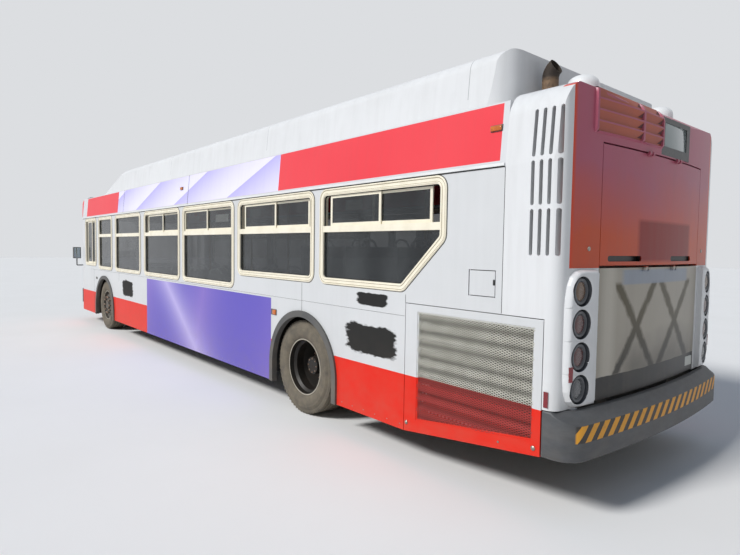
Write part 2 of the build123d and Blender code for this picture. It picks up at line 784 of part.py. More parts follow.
with BuildPart() as roof_fairing:
    add(fairing_block(0.0))
    add(fairing_block(fairing_skin), mode=Mode.SUBTRACT)
write(roof_fairing, "roof_fairing")

# Exhaust stack with its bent mouth, and the two aerial domes
stack_x = cap_seam_x - 46.0
stack_y = 850.0
stack_r = 58.0
stack_t = 4.0
stack_top = 3130.0
stack_bend = 90.0
with BuildPart() as exhaust_stack:
    with BuildLine(Plane(origin=(stack_x, stack_y, roof_z), x_dir=(-1, 0, 0), z_dir=(0, 1, 0))) as route:
        riser = Line((0, 0), (0, stack_top - roof_z - 120.0))
        JernArc(riser @ 1, (0, 1), stack_bend, -60.0)
    with BuildSketch(Plane.XY.offset(roof_z)):
        with Locations((stack_x, stack_y)):
            Circle(stack_r)
            Circle(stack_r - stack_t, mode=Mode.SUBTRACT)
    sweep(path=route.wire())
write(exhaust_stack, "exhaust_stack")

dome_x = cap_seam_x - 250.0
dome_r = 110.0
dome_h = 135.0
with BuildPart() as roof_domes:
    for y in (760.0, -500.0):
        with BuildSketch(Plane.XY.offset(roof_z)):
            with Locations((dome_x, y)):
                Circle(dome_r)
        extrude(amount=dome_h)
    fillet(roof_domes.faces().group_by(Axis.Z)[-1].edges(), 70.0)
write(roof_domes, "roof_domes")

# Rubber lips round the wheel arches, seated on the edge of the wall
rubber_out = 22.0
rubber_in = 40.0
with BuildPart() as arch_rubbers:
    for side in (1, -1):
        for arch in arches:
            with BuildSketch(side_plane(side, -rubber_out)):
                add(arch_shape(arch, 0.0))
                add(arch_shape(arch, arch_lip), mode=Mode.SUBTRACT)
            extrude(amount=side * rubber_out)
            with BuildSketch(side_plane(side)):
                add(arch_shape(arch, arch_seat + seat_gap))
                add(arch_shape(arch, arch_lip), mode=Mode.SUBTRACT)
            extrude(amount=side * rubber_in)
    with Locations((0, 0, skirt_z)):
        Box(length, 2 * width, 2 * half, align=(Align.CENTER, Align.CENTER, Align.MAX), mode=Mode.SUBTRACT)
write(arch_rubbers, "arch_rubbers")

# Floor: low deck, two steps and the raised rear deck, cut out for the wheelhouses
house_y = 560.0
house_t = 12.0
house_z = 1072.0
house_half = [640.0, 585.0]
step_x = rear_axle_x + 690.0
deck_end_x = radiator_x + 45.0
floor_front_x = mask_x + 185.0
floor_side_x = mask_x - 60.0
step_rise = (deck_z - floor_z) / 2
step_tread = 300.0
with BuildPart() as floor:
    with BuildSketch(Plane.XY.offset(floor_z - floor_thick)):
        with BuildLine():
            Polyline((step_x, -inner_y), (step_x, inner_y), (floor_side_x, inner_y), (floor_front_x, inner_y - 285.0),
                     (floor_front_x, 285.0 - inner_y), (floor_side_x, -inner_y), close=True)
        make_face()
        for side in (1, -1):
            with Locations((front_axle_x, side * (house_y + inner_y) / 2)):
                Rectangle(2 * house_half[0], inner_y - house_y, mode=Mode.SUBTRACT)
    extrude(amount=floor_thick)
    with BuildSketch(Plane.XY.offset(deck_z - floor_thick)):
        with BuildLine():
            Polyline((deck_end_x, -inner_y), (deck_end_x, inner_y), (step_x, inner_y), (step_x, -inner_y), close=True)
        make_face()
        for side in (1, -1):
            with Locations((rear_axle_x, side * (house_y + inner_y) / 2)):
                Rectangle(2 * house_half[1], inner_y - house_y, mode=Mode.SUBTRACT)
    extrude(amount=floor_thick)
    with Locations((step_x, 0, floor_z - floor_thick)):
        Box(40.0, 2 * inner_y, deck_z - floor_z + floor_thick, align=(Align.MIN, Align.CENTER, Align.MIN))
    with Locations((step_x, 0, floor_z)):
        Box(step_tread, 660.0, step_rise, align=(Align.MIN, Align.CENTER, Align.MIN))
write(floor, "floor")

# Wheelhouses: open-bottomed boxes over the four wheel positions
with BuildPart() as wheelhouses:
    for x, reach, base in ((front_axle_x, house_half[0], floor_z), (rear_axle_x, house_half[1], deck_z)):
        for side in (1, -1):
            with Locations((x, side * (house_y + inner_y) / 2, base - floor_thick)):
                Box(2 * reach - 2 * seat_gap, inner_y - house_y - 2 * seat_gap, house_z - base + floor_thick,
                    align=(Align.CENTER, Align.CENTER, Align.MIN))
            with Locations((x, side * (house_y + house_t + half) / 2, 0)):
                Box(2 * reach - 2 * house_t, half - house_y - house_t, 2 * (house_z - house_t), mode=Mode.SUBTRACT)
write(wheelhouses, "wheelhouses")

# Underframe: rails under the low floor, over the rear axle and behind it, with cross members
rail_y = 450.0
rail_w = 80.0
rail_h = 65.0
rear_rail_z = 500.0
member_w = 60.0
low_rail_z = floor_z - floor_thick - rail_h
high_rail_z = deck_z - floor_thick - rail_h
tail_x = rear_face_x + 90.0
low_members = [step_x + 330.0 + i * 1100.0 for i in range(6)] + [front_axle_x - 720.0, front_axle_x + 720.0, mask_x - 200.0]
high_members = (step_x - 60.0, deck_end_x + 60.0)
tail_members = (deck_end_x - 200.0, -5500.0, corner_seam_x + 40.0)
jack_places = ((front_axle_x - 900.0, low_rail_z), (tail_members[1], rear_rail_z - rail_h))
jack_w = 120.0
jack_t = 10.0
eye_r = 20.0
eye_t = 24.0
eye_x = floor_front_x + 45.0
with BuildPart() as underframe:
    for side in (1, -1):
        y = side * rail_y
        with Locations((step_x, y, low_rail_z)):
            Box(floor_front_x - step_x, rail_w, rail_h, align=(Align.MIN, Align.CENTER, Align.MIN))
        with Locations((step_x, y, high_rail_z)):
            Box(step_x - deck_end_x, rail_w, rail_h, align=(Align.MAX, Align.CENTER, Align.MIN))
        with Locations((deck_end_x, y, rear_rail_z - rail_h)):
            Box(deck_end_x - rear_face_x + bumper_reach / 2, rail_w, rail_h, align=(Align.MAX, Align.CENTER, Align.MIN))
        with Locations((step_x, y, low_rail_z)):
            Box(rail_w, rail_w, high_rail_z + rail_h - low_rail_z, align=(Align.MAX, Align.CENTER, Align.MIN))
        with Locations((deck_end_x, y, rear_rail_z - rail_h)):
            Box(rail_w, rail_w, deck_z - floor_thick - rear_rail_z + rail_h,
                align=(Align.MAX, Align.CENTER, Align.MIN))
        for x, z in jack_places:
            with Locations((x, y, z)):
                Box(jack_w, rail_w, jack_t, align=(Align.CENTER, Align.CENTER, Align.MAX))
    for members, z in ((low_members, low_rail_z), (high_members, high_rail_z), (tail_members, rear_rail_z - rail_h)):
        for x in members:
            with Locations((x, 0, z)):
                Box(member_w, 2 * inner_y, rail_h, align=(Align.CENTER, Align.CENTER, Align.MIN))
    add(rear_bumper.part, mode=Mode.SUBTRACT)
write(underframe, "underframe")

# Towing eyes on the front ends of the rails
with BuildPart() as tow_eyes:
    for side in (1, -1):
        with BuildSketch(Plane.XY.offset(low_rail_z + (rail_h - eye_t) / 2)):
            with Locations((eye_x, side * rail_y)):
                Circle(rail_w / 2)
            with Locations(((floor_front_x + eye_x) / 2, side * rail_y)):
                Rectangle(eye_x - floor_front_x, rail_w)
            with Locations((eye_x, side * rail_y)):
                Circle(eye_r, mode=Mode.SUBTRACT)
        extrude(amount=eye_t)
write(tow_eyes, "tow_eyes")

# Engine, radiator core and the bulkhead that closes the engine bay
bay_x = deck_end_x - 100.0
with BuildPart() as engine:
    with Locations(((bay_x + tail_x) / 2 - 60.0, -100.0, rear_rail_z)):
        Box(1050.0, 1100.0, 740.0, align=(Align.CENTER, Align.CENTER, Align.MIN))
    chamfer(engine.edges().filter_by(Axis.X), 120.0)
write(engine, "engine")

with BuildPart() as radiator:
    with Locations(((mesh_front + mesh_rear) / 2, half - wall - 40.0, rear_rail_z)):
        Box(mesh_front - mesh_rear - 80.0, 110.0, 740.0, align=(Align.CENTER, Align.MAX, Align.MIN))
write(radiator, "radiator")

bulkhead_t = 30.0
back_wall_x = cap_seam_x - 30.0
with BuildPart() as bulkhead:
    with BuildSketch(Plane.XZ):
        with BuildLine():
            Polyline((deck_end_x, rear_rail_z), (deck_end_x, platform_z), (back_wall_x + bulkhead_t, platform_z),
                     (back_wall_x + bulkhead_t, cove_z - wall - 40.0), (back_wall_x, cove_z - wall - 40.0),
                     (back_wall_x, platform_z - bulkhead_t), (deck_end_x - bulkhead_t, platform_z - bulkhead_t),
                     (deck_end_x - bulkhead_t, rear_rail_z), close=True)
        make_face()
    extrude(amount=inner_y - seat_gap, both=True)
    with Locations((0, 0, 0)):
        Box(length, width, 2 * drip_z, mode=Mode.INTERSECT)
    for side in (1, -1):
        with Locations((deck_end_x, side * rail_y, 0)):
            Box(3 * rail_w, rail_w + 2.0, 2 * (deck_z - floor_thick), mode=Mode.SUBTRACT)
write(bulkhead, "bulkhead")

# Seats: cushions held by the side walls, and their backs
seat_w = 880.0
seat_d = 430.0
seat_t = 70.0
back_t = 55.0
back_h = 600.0
seat_rise = 430.0
low_rows_left = (3150.0, 2390.0, 1630.0, 870.0, 110.0, -650.0, -1410.0)
low_rows_right = (3150.0, 2390.0, 1630.0, 870.0, 110.0, -650.0)
deck_rows = (-2700.0, -3420.0, -4140.0)
rows = [(1, x, floor_z) for x in low_rows_left] + [(-1, x, floor_z) for x in low_rows_right]
rows += [(side, x, deck_z) for side in (1, -1) for x in deck_rows]
bench_x = back_wall_x + bulkhead_t + back_t
driver_x = 5200.0
driver_y = 640.0
with BuildPart() as seat_cushions:
    for side, x, base in rows:
        with Locations((x, side * inner_y, base + seat_rise)):
            Box(seat_d, seat_w, seat_t, align=(Align.MAX, Align.MAX if side > 0 else Align.MIN, Align.MAX))
    with Locations((bench_x, 0, platform_z)):
        Box(seat_d, 2 * inner_y, 90.0, align=(Align.MIN, Align.CENTER, Align.MIN))
    with Locations((driver_x, driver_y, floor_z)):
        Box(460.0, 480.0, 520.0, align=(Align.MIN, Align.CENTER, Align.MIN))
write(seat_cushions, "seat_cushions")

with BuildPart() as seat_backs:
    for side, x, base in rows:
        with Locations((x - seat_d, side * inner_y, base + seat_rise - seat_t)):
            Box(back_t, seat_w, back_h, align=(Align.MAX, Align.MAX if side > 0 else Align.MIN, Align.MIN))
    with Locations((bench_x, 0, platform_z)):
        Box(back_t, 2 * inner_y, back_h, align=(Align.MAX, Align.CENTER, Align.MIN))
    with Locations((driver_x, driver_y, floor_z + 300.0)):
        Box(80.0, 480.0, 950.0, align=(Align.MAX, Align.CENTER, Align.MIN))
write(seat_backs, "seat_backs")

# Stanchions beside the aisle
pole_r = 17.0
pole_top = roof_z - wall - 25.0
pole_y = inner_y - seat_w - 25.0
poles = [(1, x - seat_d - back_t / 2, floor_z) for x in low_rows_left[::2]]
poles += [(-1, x - seat_d - back_t / 2, floor_z) for x in low_rows_right[::2]]
poles += [(side, deck_rows[-1] + 60.0, deck_z) for side in (1, -1)]
with BuildPart() as stanchions:
    for side, x, base in poles:
        with Locations((x, side * pole_y, base)):
            Cylinder(pole_r, pole_top - base, align=(Align.CENTER, Align.CENTER, Align.MIN))
write(stanchions, "stanchions")

# Driver's desk and steering wheel
desk_x = mask_x - 120.0
desk_z = 1060.0
with BuildPart() as dashboard:
    with BuildSketch(Plane.XZ.offset(-inner_y + 130.0)):
        with BuildLine():
            Polyline((desk_x, floor_z), (desk_x, desk_z - 90.0), (desk_x + 110.0, desk_z),
                     (desk_x + 290.0, desk_z), (desk_x + 290.0, floor_z), close=True)
        make_face()
    extrude(amount=1700.0)
write(dashboard, "dashboard")

column_tilt = 35.0
with BuildPart() as steering_wheel:
    hub = Plane(origin=(desk_x - 90.0, driver_y, desk_z + 60.0),
                z_dir=(-sin(radians(column_tilt)), 0, cos(radians(column_tilt))))
    with Locations(hub):
        Torus(220.0, 14.0)
        Box(436.0, 30.0, 14.0)
        Cylinder(50.0, 30.0)
    with BuildSketch(hub):
        Circle(24.0)
    extrude(amount=-140.0)
    add(dashboard.part, mode=Mode.SUBTRACT)
write(steering_wheel, "steering_wheel")

# Outside mirrors on arms from the front corners
mirror_x = front_face_x - 130.0
mirror_y = half + 85.0
mirror_z = 1560.0
with BuildPart() as mirrors:
    for side in (1, -1):
        with Locations((mirror_x, side * mirror_y, mirror_z)):
            Box(90.0, 150.0, 260.0)
        with Locations((mirror_x, side * mirror_y, mirror_z - 130.0)):
            Cylinder(12.0, 160.0, align=(Align.CENTER, Align.CENTER, Align.MAX))
        with BuildSketch(Plane.XZ.offset(-side * mirror_y)):
            with Locations((mirror_x, mirror_z - 290.0)):
                Circle(12.0)
        extrude(amount=side * 260.0)
    add(outer_body, mode=Mode.SUBTRACT)
write(mirrors, "mirrors")

# Front axle: drop beam with a boss at each kingpin
kingpin_y = 985.0
king_r = 20.0
boss_r = 42.0
boss_h = 130.0
beam_w = 90.0
beam_h = 80.0
beam_low = low_rail_z - beam_h
with BuildPart() as front_axle:
    with BuildSketch(Plane.YZ.offset(front_axle_x - beam_w / 2)):
        with BuildLine():
            Polyline((-kingpin_y, axle_z + 40.0), (-760.0, axle_z + 40.0), (-620.0, beam_low + beam_h),
                     (620.0, beam_low + beam_h), (760.0, axle_z + 40.0), (kingpin_y, axle_z + 40.0),
                     (kingpin_y, axle_z - 40.0), (800.0, axle_z - 40.0), (660.0, beam_low), (-660.0, beam_low),
                     (-800.0, axle_z - 40.0), (-kingpin_y, axle_z - 40.0), close=True)
        make_face()
    extrude(amount=beam_w)
    for side in (1, -1):
        with Locations((front_axle_x, side * kingpin_y, axle_z)):
            Cylinder(boss_r, boss_h)
    for side in (1, -1):
        with Locations((front_axle_x, side * kingpin_y, axle_z)):
            Cylinder(king_r + pin_fit, 2 * boss_h, mode=Mode.SUBTRACT)
write(front_axle, "front_axle")

# Steering knuckles: fork, kingpin and stub axle
fork_h = 40.0
fork_gap = 1.0
plate_t = 30.0
stub_r = 38.0
hub_in_y = kingpin_y + 85.0
for side, name in ((1, "knuckle_left"), (-1, "knuckle_right")):
    plate_y = kingpin_y + boss_r + 6.0
    with BuildPart() as knuckle:
        for z in (axle_z + boss_h / 2 + fork_gap, axle_z - boss_h / 2 - fork_gap - fork_h):
            with BuildSketch(Plane.XY.offset(z)):
                with Locations((front_axle_x, side * kingpin_y)):
                    Circle(boss_r)
                with Locations((front_axle_x, side * (kingpin_y + (boss_r + 6.0 + plate_t) / 2))):
                    Rectangle(2 * boss_r, boss_r + 6.0 + plate_t)
            extrude(amount=fork_h)
        with Locations((front_axle_x, side * (plate_y + plate_t / 2), axle_z)):
            Box(2 * boss_r, plate_t, boss_h + 2 * fork_h + 2 * fork_gap)
        with Locations((front_axle_x, side * kingpin_y, axle_z)):
            Cylinder(king_r, boss_h + 2 * fork_h)
        with BuildSketch(Plane.XZ.offset(-side * plate_y)):
            with Locations((front_axle_x, axle_z)):
                Circle(stub_r)
        extrude(amount=-side * (tyre_out_y - 40.0 - plate_y))
    write(knuckle, name)

# Rear axle: differential bowl, tubes, spindles and air springs
tube_r = 70.0
bowl_r = 215.0
bowl_half = 120.0
spindle_r = 42.0
dual_y = tyre_out_y - tyre_w - dual_gap / 2
drum_in_y = dual_y - dual_gap / 2 - tyre_w - 10.0
with BuildPart() as rear_axle:
    with BuildSketch(Plane.XZ.offset(-drum_in_y)):
        with Locations((rear_axle_x, axle_z)):
            Circle(tube_r)
    extrude(amount=2 * drum_in_y)
    with BuildSketch(Plane.XZ.offset(-dual_y - 150.0)):
        with Locations((rear_axle_x, axle_z)):
            Circle(spindle_r)
    extrude(amount=2 * (dual_y + 150.0))
    with BuildSketch(Plane(origin=(rear_axle_x, 0, axle_z), x_dir=(1, 0, 0), z_dir=(0, -1, 0))):
        with BuildLine():
            Polyline((-bowl_half, 0), (-bowl_half, bowl_r - 65.0), (-bowl_half + 50.0, bowl_r),
                     (bowl_half - 50.0, bowl_r), (bowl_half, bowl_r - 65.0), (bowl_half, 0), close=True)
        make_face()
    revolve(axis=Axis((rear_axle_x, 0, axle_z), (1, 0, 0)))
    for side in (1, -1):
        with Locations((rear_axle_x, side * rail_y, axle_z)):
            Box(130.0, 130.0, 100.0, align=(Align.CENTER, Align.CENTER, Align.MIN))
        with Locations((rear_axle_x, side * rail_y, axle_z + 95.0)):
            Cylinder(75.0, high_rail_z - axle_z - 95.0, align=(Align.CENTER, Align.CENTER, Align.MIN))
write(rear_axle, "rear_axle")


def tyre_profile(plane):
    # Half section of one tyre about its axle: bead, sidewall, shoulder and tread
    w = tyre_w / 2
    with BuildSketch(plane) as section:
        with BuildLine():
            Polyline((-w + 40.0, rim_r), (-w, (rim_r + tyre_r) / 2 - 10.0), (-w + 30.0, tyre_r), (w - 30.0, tyre_r),
                     (w, (rim_r + tyre_r) / 2 - 10.0), (w - 40.0, rim_r), close=True)
        make_face()
    return section.sketch


def wheel_plane(x, y):
    # Sketch plane through an axle: first axis outward along Y, second axis up from the hub
    return Plane(origin=(x, y, axle_z), x_dir=(0, 1, 0), z_dir=(1, 0, 0))


def wheel_axis(x):
    return Axis((x, 0, axle_z), (0, 1, 0))


def front_tyre(side):
    with BuildPart() as tyre:
        y = side * (tyre_out_y - tyre_w / 2)
        add(tyre_profile(wheel_plane(front_axle_x, y)))
        revolve(axis=wheel_axis(front_axle_x))
    return tyre


def rear_tyres(side):
    with BuildPart() as tyres:
        for y in (tyre_out_y - tyre_w / 2, tyre_out_y - 1.5 * tyre_w - dual_gap):
            add(tyre_profile(wheel_plane(rear_axle_x, side * y)))
        revolve(axis=wheel_axis(rear_axle_x))
    return tyres


rim_t = 9.0
disc_t = 14.0
hub_r = 85.0
stud_circle_r = 167.5
stud_r = 15.0
stud_count = 10


def rim_profile(side, x, y, disc_at):
    # Half section of one steel wheel: flanges, drop well and dished disc
    w = tyre_w / 2 - 40.0
    with BuildSketch(wheel_plane(x, y)) as section:
        with BuildLine():
            Polyline((-w - 10.0, rim_r + 7.0), (-w, rim_r - 1.0), (-w + 45.0, rim_r - 1.0), (-w + 70.0, rim_r - 26.0),
                     (w - 70.0, rim_r - 26.0), (w - 45.0, rim_r - 1.0), (w, rim_r - 1.0), (w + 10.0, rim_r + 7.0),
                     (w + 10.0, rim_r - 6.0), (w - 38.0, rim_r - 12.0), (w - 63.0, rim_r - 36.0),
                     (-w + 63.0, rim_r - 36.0), (-w + 38.0, rim_r - 12.0), (-w - 10.0, rim_r - 6.0), close=True)
        make_face()
        with BuildLine():
            d = side * disc_at
            Polyline((d, hub_r), (d, 210.0), (side * (disc_at * 0.2), rim_r - 30.0),
                     (side * (disc_at * 0.2 + disc_t), rim_r - 30.0), (d + side * disc_t, 214.0),
                     (d + side * disc_t, hub_r), close=True)
        make_face()
    return section.sketch


def front_rim(side):
    y = tyre_out_y - tyre_w / 2
    disc = 90.0
    with BuildPart() as rim:
        add(rim_profile(side, front_axle_x, side * y, disc))
        revolve(axis=wheel_axis(front_axle_x))
        with BuildSketch(wheel_plane(front_axle_x, 0)):
            with BuildLine():
                a = side * hub_in_y
                b = side * (y + disc + 40.0)
                Polyline((a, stub_r + pin_fit), (a, 205.0), (a + side * 70.0, 205.0), (a + side * 70.0, 120.0),
                         (b, 95.0), (b, 0), (b - side * 15.0, 0), (b - side * 15.0, stub_r + pin_fit), close=True)
            make_face()
        revolve(axis=wheel_axis(front_axle_x))
        with BuildSketch(Plane.XZ.offset(-side * (y + disc))):
            with Locations((front_axle_x, axle_z)):
                with PolarLocations(stud_circle_r, stud_count):
                    Circle(stud_r)
        extrude(amount=-side * (disc_t + 22.0))
    return rim


def rear_rims(side):
    outer = tyre_out_y - tyre_w / 2
    inner = outer - tyre_w - dual_gap
    with BuildPart() as rims:
        add(rim_profile(side, rear_axle_x, side * outer, dual_y - outer))
        revolve(axis=wheel_axis(rear_axle_x))
        add(rim_profile(side, rear_axle_x, side * inner, dual_y - disc_t - inner))
        revolve(axis=wheel_axis(rear_axle_x))
        with BuildSketch(wheel_plane(rear_axle_x, 0)):
            with BuildLine():
                a = side * (drum_in_y + 15.0)
                b = side * (dual_y + 190.0)
                Polyline((a, tube_r + 6.0), (a, 205.0), (side * (dual_y - 60.0), 205.0), (side * (dual_y - 30.0), 120.0),
                         (side * (dual_y + 100.0), 105.0), (b, 90.0), (b, 0), (side * (dual_y + 160.0), 0),
                         (side * (dual_y + 160.0), spindle_r + pin_fit), (side * (drum_in_y + 90.0), spindle_r + pin_fit),
                         (side * (drum_in_y + 90.0), tube_r + 6.0), close=True)
            make_face()
        revolve(axis=wheel_axis(rear_axle_x))
        with BuildSketch(Plane.XZ.offset(-side * dual_y)):
            with Locations((rear_axle_x, axle_z)):
                with PolarLocations(stud_circle_r, stud_count):
                    Circle(stud_r)
        extrude(amount=-side * (disc_t + 25.0))
    return rims


for side, name in ((1, "left"), (-1, "right")):
    write(front_tyre(side), "tyre_front_" + name)
    write(front_rim(side), "rim_front_" + name)
    write(rear_tyres(side), "tyres_rear_" + name)
    write(rear_rims(side), "rims_rear_" + name)

# Passenger door leaves on the right, each turning on a spindle at its jamb
leaf_low = door_z + door_gap
leaf_top = door_top - door_gap
stile = 70.0
toe_h = 230.0
leaf_y = wall / 2 - half


def door_leaf(jamb_x, span, toward):
    # toward is +1 for a leaf that runs forward from its jamb
    with BuildPart() as leaf:
        with BuildSketch(Plane.XY.offset(leaf_low)):
            with Locations((jamb_x, leaf_y)):
                Circle(door_t / 2)
            with Locations((jamb_x + toward * (span - door_t / 2) / 2, leaf_y)):
                Rectangle(span - door_t / 2, door_t)
        extrude(amount=leaf_top - leaf_low)
        with BuildSketch(Plane.XZ.offset(half)):
            with Locations((jamb_x + toward * (span - door_t / 2) / 2, (leaf_low + toe_h + leaf_top - stile) / 2)):
                RectangleRounded(span - 2 * stile, leaf_top - leaf_low - toe_h - stile, 40.0)
        extrude(amount=-wall, mode=Mode.SUBTRACT)
        with BuildSketch(Plane.XZ.offset(-leaf_y + glass_t / 2 + seat_gap)):
            with Locations((jamb_x + toward * (span - door_t / 2) / 2, (leaf_low + toe_h + leaf_top - stile) / 2)):
                RectangleRounded(span - 2 * stile + 2 * glass_bite, leaf_top - leaf_low - toe_h - stile + 2 * glass_bite, 40.0)
        extrude(amount=-glass_t - 2 * seat_gap, mode=Mode.SUBTRACT)
        with BuildSketch(Plane.XY.offset(leaf_low - door_gap - pin_long)):
            with Locations((jamb_x, leaf_y)):
                Circle(pin_r)
        extrude(amount=pin_long + door_gap)
        with BuildSketch(Plane.XY.offset(leaf_top)):
            with Locations((jamb_x, leaf_y)):
                Circle(pin_r)
        extrude(amount=pin_long + door_gap)
    return leaf


def leaf_glass(jamb_x, span, toward):
    with BuildPart() as glass:
        with BuildSketch(Plane.XZ.offset(-leaf_y + glass_t / 2)):
            with Locations((jamb_x + toward * (span - door_t / 2) / 2, (leaf_low + toe_h + leaf_top - stile) / 2)):
                RectangleRounded(span - 2 * stile + 2 * glass_bite - 2 * seat_gap,
                                 leaf_top - leaf_low - toe_h - stile + 2 * glass_bite - 2 * seat_gap, 40.0)
        extrude(amount=-glass_t)
    return glass


front_leaf_w = (front_door_w - 3 * door_gap) / 2
rear_leaf_w = (rear_door_w - 3 * door_gap) / 2
leaves = (
    ("front_door_fore", spindle_places[0], front_leaf_w, -1),
    ("front_door_aft", spindle_places[1], front_leaf_w, 1),
    ("rear_door_fore", spindle_places[2], rear_leaf_w, -1),
    ("rear_door_aft", spindle_places[3], rear_leaf_w, 1),
)
for name, jamb_x, span, toward in leaves:
    write(door_leaf(jamb_x, span, toward), name)
    write(leaf_glass(jamb_x, span, toward), name + "_glass")
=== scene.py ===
from math import atan2, cos, pi, radians, sin, sqrt, tau

import bmesh
import bpy
from mathutils import Matrix, Vector
from mathutils.bvhtree import BVHTree


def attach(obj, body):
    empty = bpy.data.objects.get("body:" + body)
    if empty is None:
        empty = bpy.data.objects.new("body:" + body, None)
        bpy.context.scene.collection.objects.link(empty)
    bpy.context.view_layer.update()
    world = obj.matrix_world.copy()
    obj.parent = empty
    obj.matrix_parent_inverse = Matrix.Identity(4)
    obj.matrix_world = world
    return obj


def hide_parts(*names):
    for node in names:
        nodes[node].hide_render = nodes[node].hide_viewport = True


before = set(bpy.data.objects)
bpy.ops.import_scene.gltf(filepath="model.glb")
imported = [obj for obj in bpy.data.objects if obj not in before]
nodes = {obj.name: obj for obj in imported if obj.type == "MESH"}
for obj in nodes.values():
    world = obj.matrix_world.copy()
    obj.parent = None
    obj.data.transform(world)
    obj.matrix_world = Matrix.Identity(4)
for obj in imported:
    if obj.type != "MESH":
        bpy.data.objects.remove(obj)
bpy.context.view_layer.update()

# Camera, lamps and floor, metres; X forward, Y to the bus's left, Z up
studio = {
    "place": (-8.0306, 4.4283, 1.7686), "yaw": -0.7035, "pitch": 0.0538, "roll": 0.0148, "lens": 26.584,
    "key": 3.0, "keySpread": 14.0, "keyAlong": (-0.16, -0.90, -0.78), "fill": 0.52, "worldLow": "#c9c5bd",
    "worldHigh": "#9fb6d6", "backdrop": "#dcdee1", "floor": "#e9e8e5", "floorSize": 70.0,
}

# The solids' main lines, metres
bus = {
    "half": 1.295, "rearX": -6.259, "bow": 0.088, "capX": -5.749, "cornerX": -6.085, "radiatorX": -4.795,
    "beltZ": 1.661, "dripZ": 2.344, "coveZ": 2.792, "coveY": 1.256, "roofZ": 2.862, "redLine": 0.7256,
    "rearAxle": -3.204, "frontAxle": 4.236, "axleZ": 0.499,
}


def tone(code, alpha=1.0):
    # a written colour as the linear value that renders as written
    channels = [int(code[i:i + 2], 16) / 255 for i in (1, 3, 5)]
    return [c / 12.92 if c <= 0.04045 else ((c + 0.055) / 1.055) ** 2.4 for c in channels] + [alpha]


class Wire:
    # one output of a node, so that node maths reads as plain Python
    def __init__(self, graph, socket):
        self.graph, self.socket = graph, socket

    def maths(self, operation, other=0.0, swapped=False):
        first, second = (other, self) if swapped else (self, other)
        return self.graph.add("ShaderNodeMath", {"operation": operation}, {0: first, 1: second})

    def __rsub__(self, other):
        return self.maths("SUBTRACT", other, True)

    def __abs__(self):
        return self.maths("ABSOLUTE")

    def held(self):
        return self.graph.add("ShaderNodeClamp", {}, {0: self})


for word, operation in {
        "__add__": "ADD", "__radd__": "ADD", "__sub__": "SUBTRACT", "__mul__": "MULTIPLY", "__rmul__": "MULTIPLY",
        "__truediv__": "DIVIDE", "__mod__": "FLOORED_MODULO", "__pow__": "POWER", "__gt__": "GREATER_THAN",
        "__lt__": "LESS_THAN", "most": "MAXIMUM"}.items():
    setattr(Wire, word, lambda self, other, operation=operation: self.maths(operation, other))


class Graph:
    # a node tree, with one way of making its nodes
    def __init__(self, tree):
        self.tree = tree

    def add(self, kind, settings=None, inputs=None, out=0):
        node = self.tree.nodes.new(kind)
        for key, value in (settings or {}).items():
            setattr(node, key, value)
        for key, value in (inputs or {}).items():
            self.feed(node.inputs[key], value)
        return Wire(self, node.outputs[out])

    def feed(self, socket, value):
        if isinstance(value, Wire):
            self.tree.links.new(value.socket, socket)
        else:
            socket.default_value = tone(value) if isinstance(value, str) else value

    def mix(self, mask, first, second):
        return self.add("ShaderNodeMix", {"data_type": "RGBA"}, {0: mask, 6: first, 7: second}, 2)

    def layered(self, colour, *layers):
        # each layer is a mask and the colour it shows
        for mask, over in layers:
            colour = self.mix(mask, colour, over)
        return colour


class Finish(Graph):
    # one procedural material, read in the bus's own coordinates
    def __init__(self, name):
        self.material = bpy.data.materials.new(name)
        self.material.use_nodes = True
        super().__init__(self.material.node_tree)
        self.shader = self.tree.nodes["Principled BSDF"].inputs
        self.place = self.add("ShaderNodeTexCoord", out="Object")
        split = self.add("ShaderNodeSeparateXYZ", {}, {0: self.place}).socket.node
        self.x, self.y, self.z = [Wire(self, output) for output in split.outputs]

    def noise(self, scale, detail=3.0, stretch=None):
        place = self.place
        if stretch:
            place = self.add("ShaderNodeMapping", {}, {"Vector": place, "Scale": stretch})
        return self.add("ShaderNodeTexNoise", {}, {"Vector": place, "Scale": scale, "Detail": detail,
                                                   "Roughness": 0.55})

    def blots(self, scale, detail, gain, less, stretch=None):
        # noise sharpened into patches from 0 to 1
        return (self.noise(scale, detail, stretch) * gain - less).held()

    def within(self, value, low, high, soft=0.003):
        # 1 between low and high, with an edge as wide as soft
        return ((value - low) / soft + 0.5).held() * ((high - value) / soft + 0.5).held()

    def worn(self, colour, rough, bump, metal=0.0, coat=0.0):
        # the end of every finish; bump is a height, its strength and its distance
        normal = self.add("ShaderNodeBump", {}, dict(zip(("Height", "Strength", "Distance"), bump)))
        for label, value in (("Base Color", colour), ("Roughness", rough), ("Metallic", metal),
                             ("Coat Weight", coat), ("Normal", normal)):
            self.feed(self.shader[label], value)
        return self


def dusty(f, colour, base, dust="#8d7f6c", most=0.55, low=0.25, high=1.5, fine=9.0):
    # colour and roughness under dust that thickens towards the ground, in patches
    level = ((high - f.z) / (high - low)).held() ** 1.6
    patches = f.noise(fine, 5.0, (0.6, 0.6, 1.0)) * 1.6 - 0.35
    mask = (level * patches * most).held()
    return f.mix(mask, colour, dust), (base + mask * 0.4).held()


def streaked(f, colour, amount):
    # rain streaks: noise drawn out down the panel
    return f.mix((f.blots(3.0, 4.0, 2.4, 1.05, (5.0, 5.0, 0.35)) * amount).held(), colour, "#6f6a60")


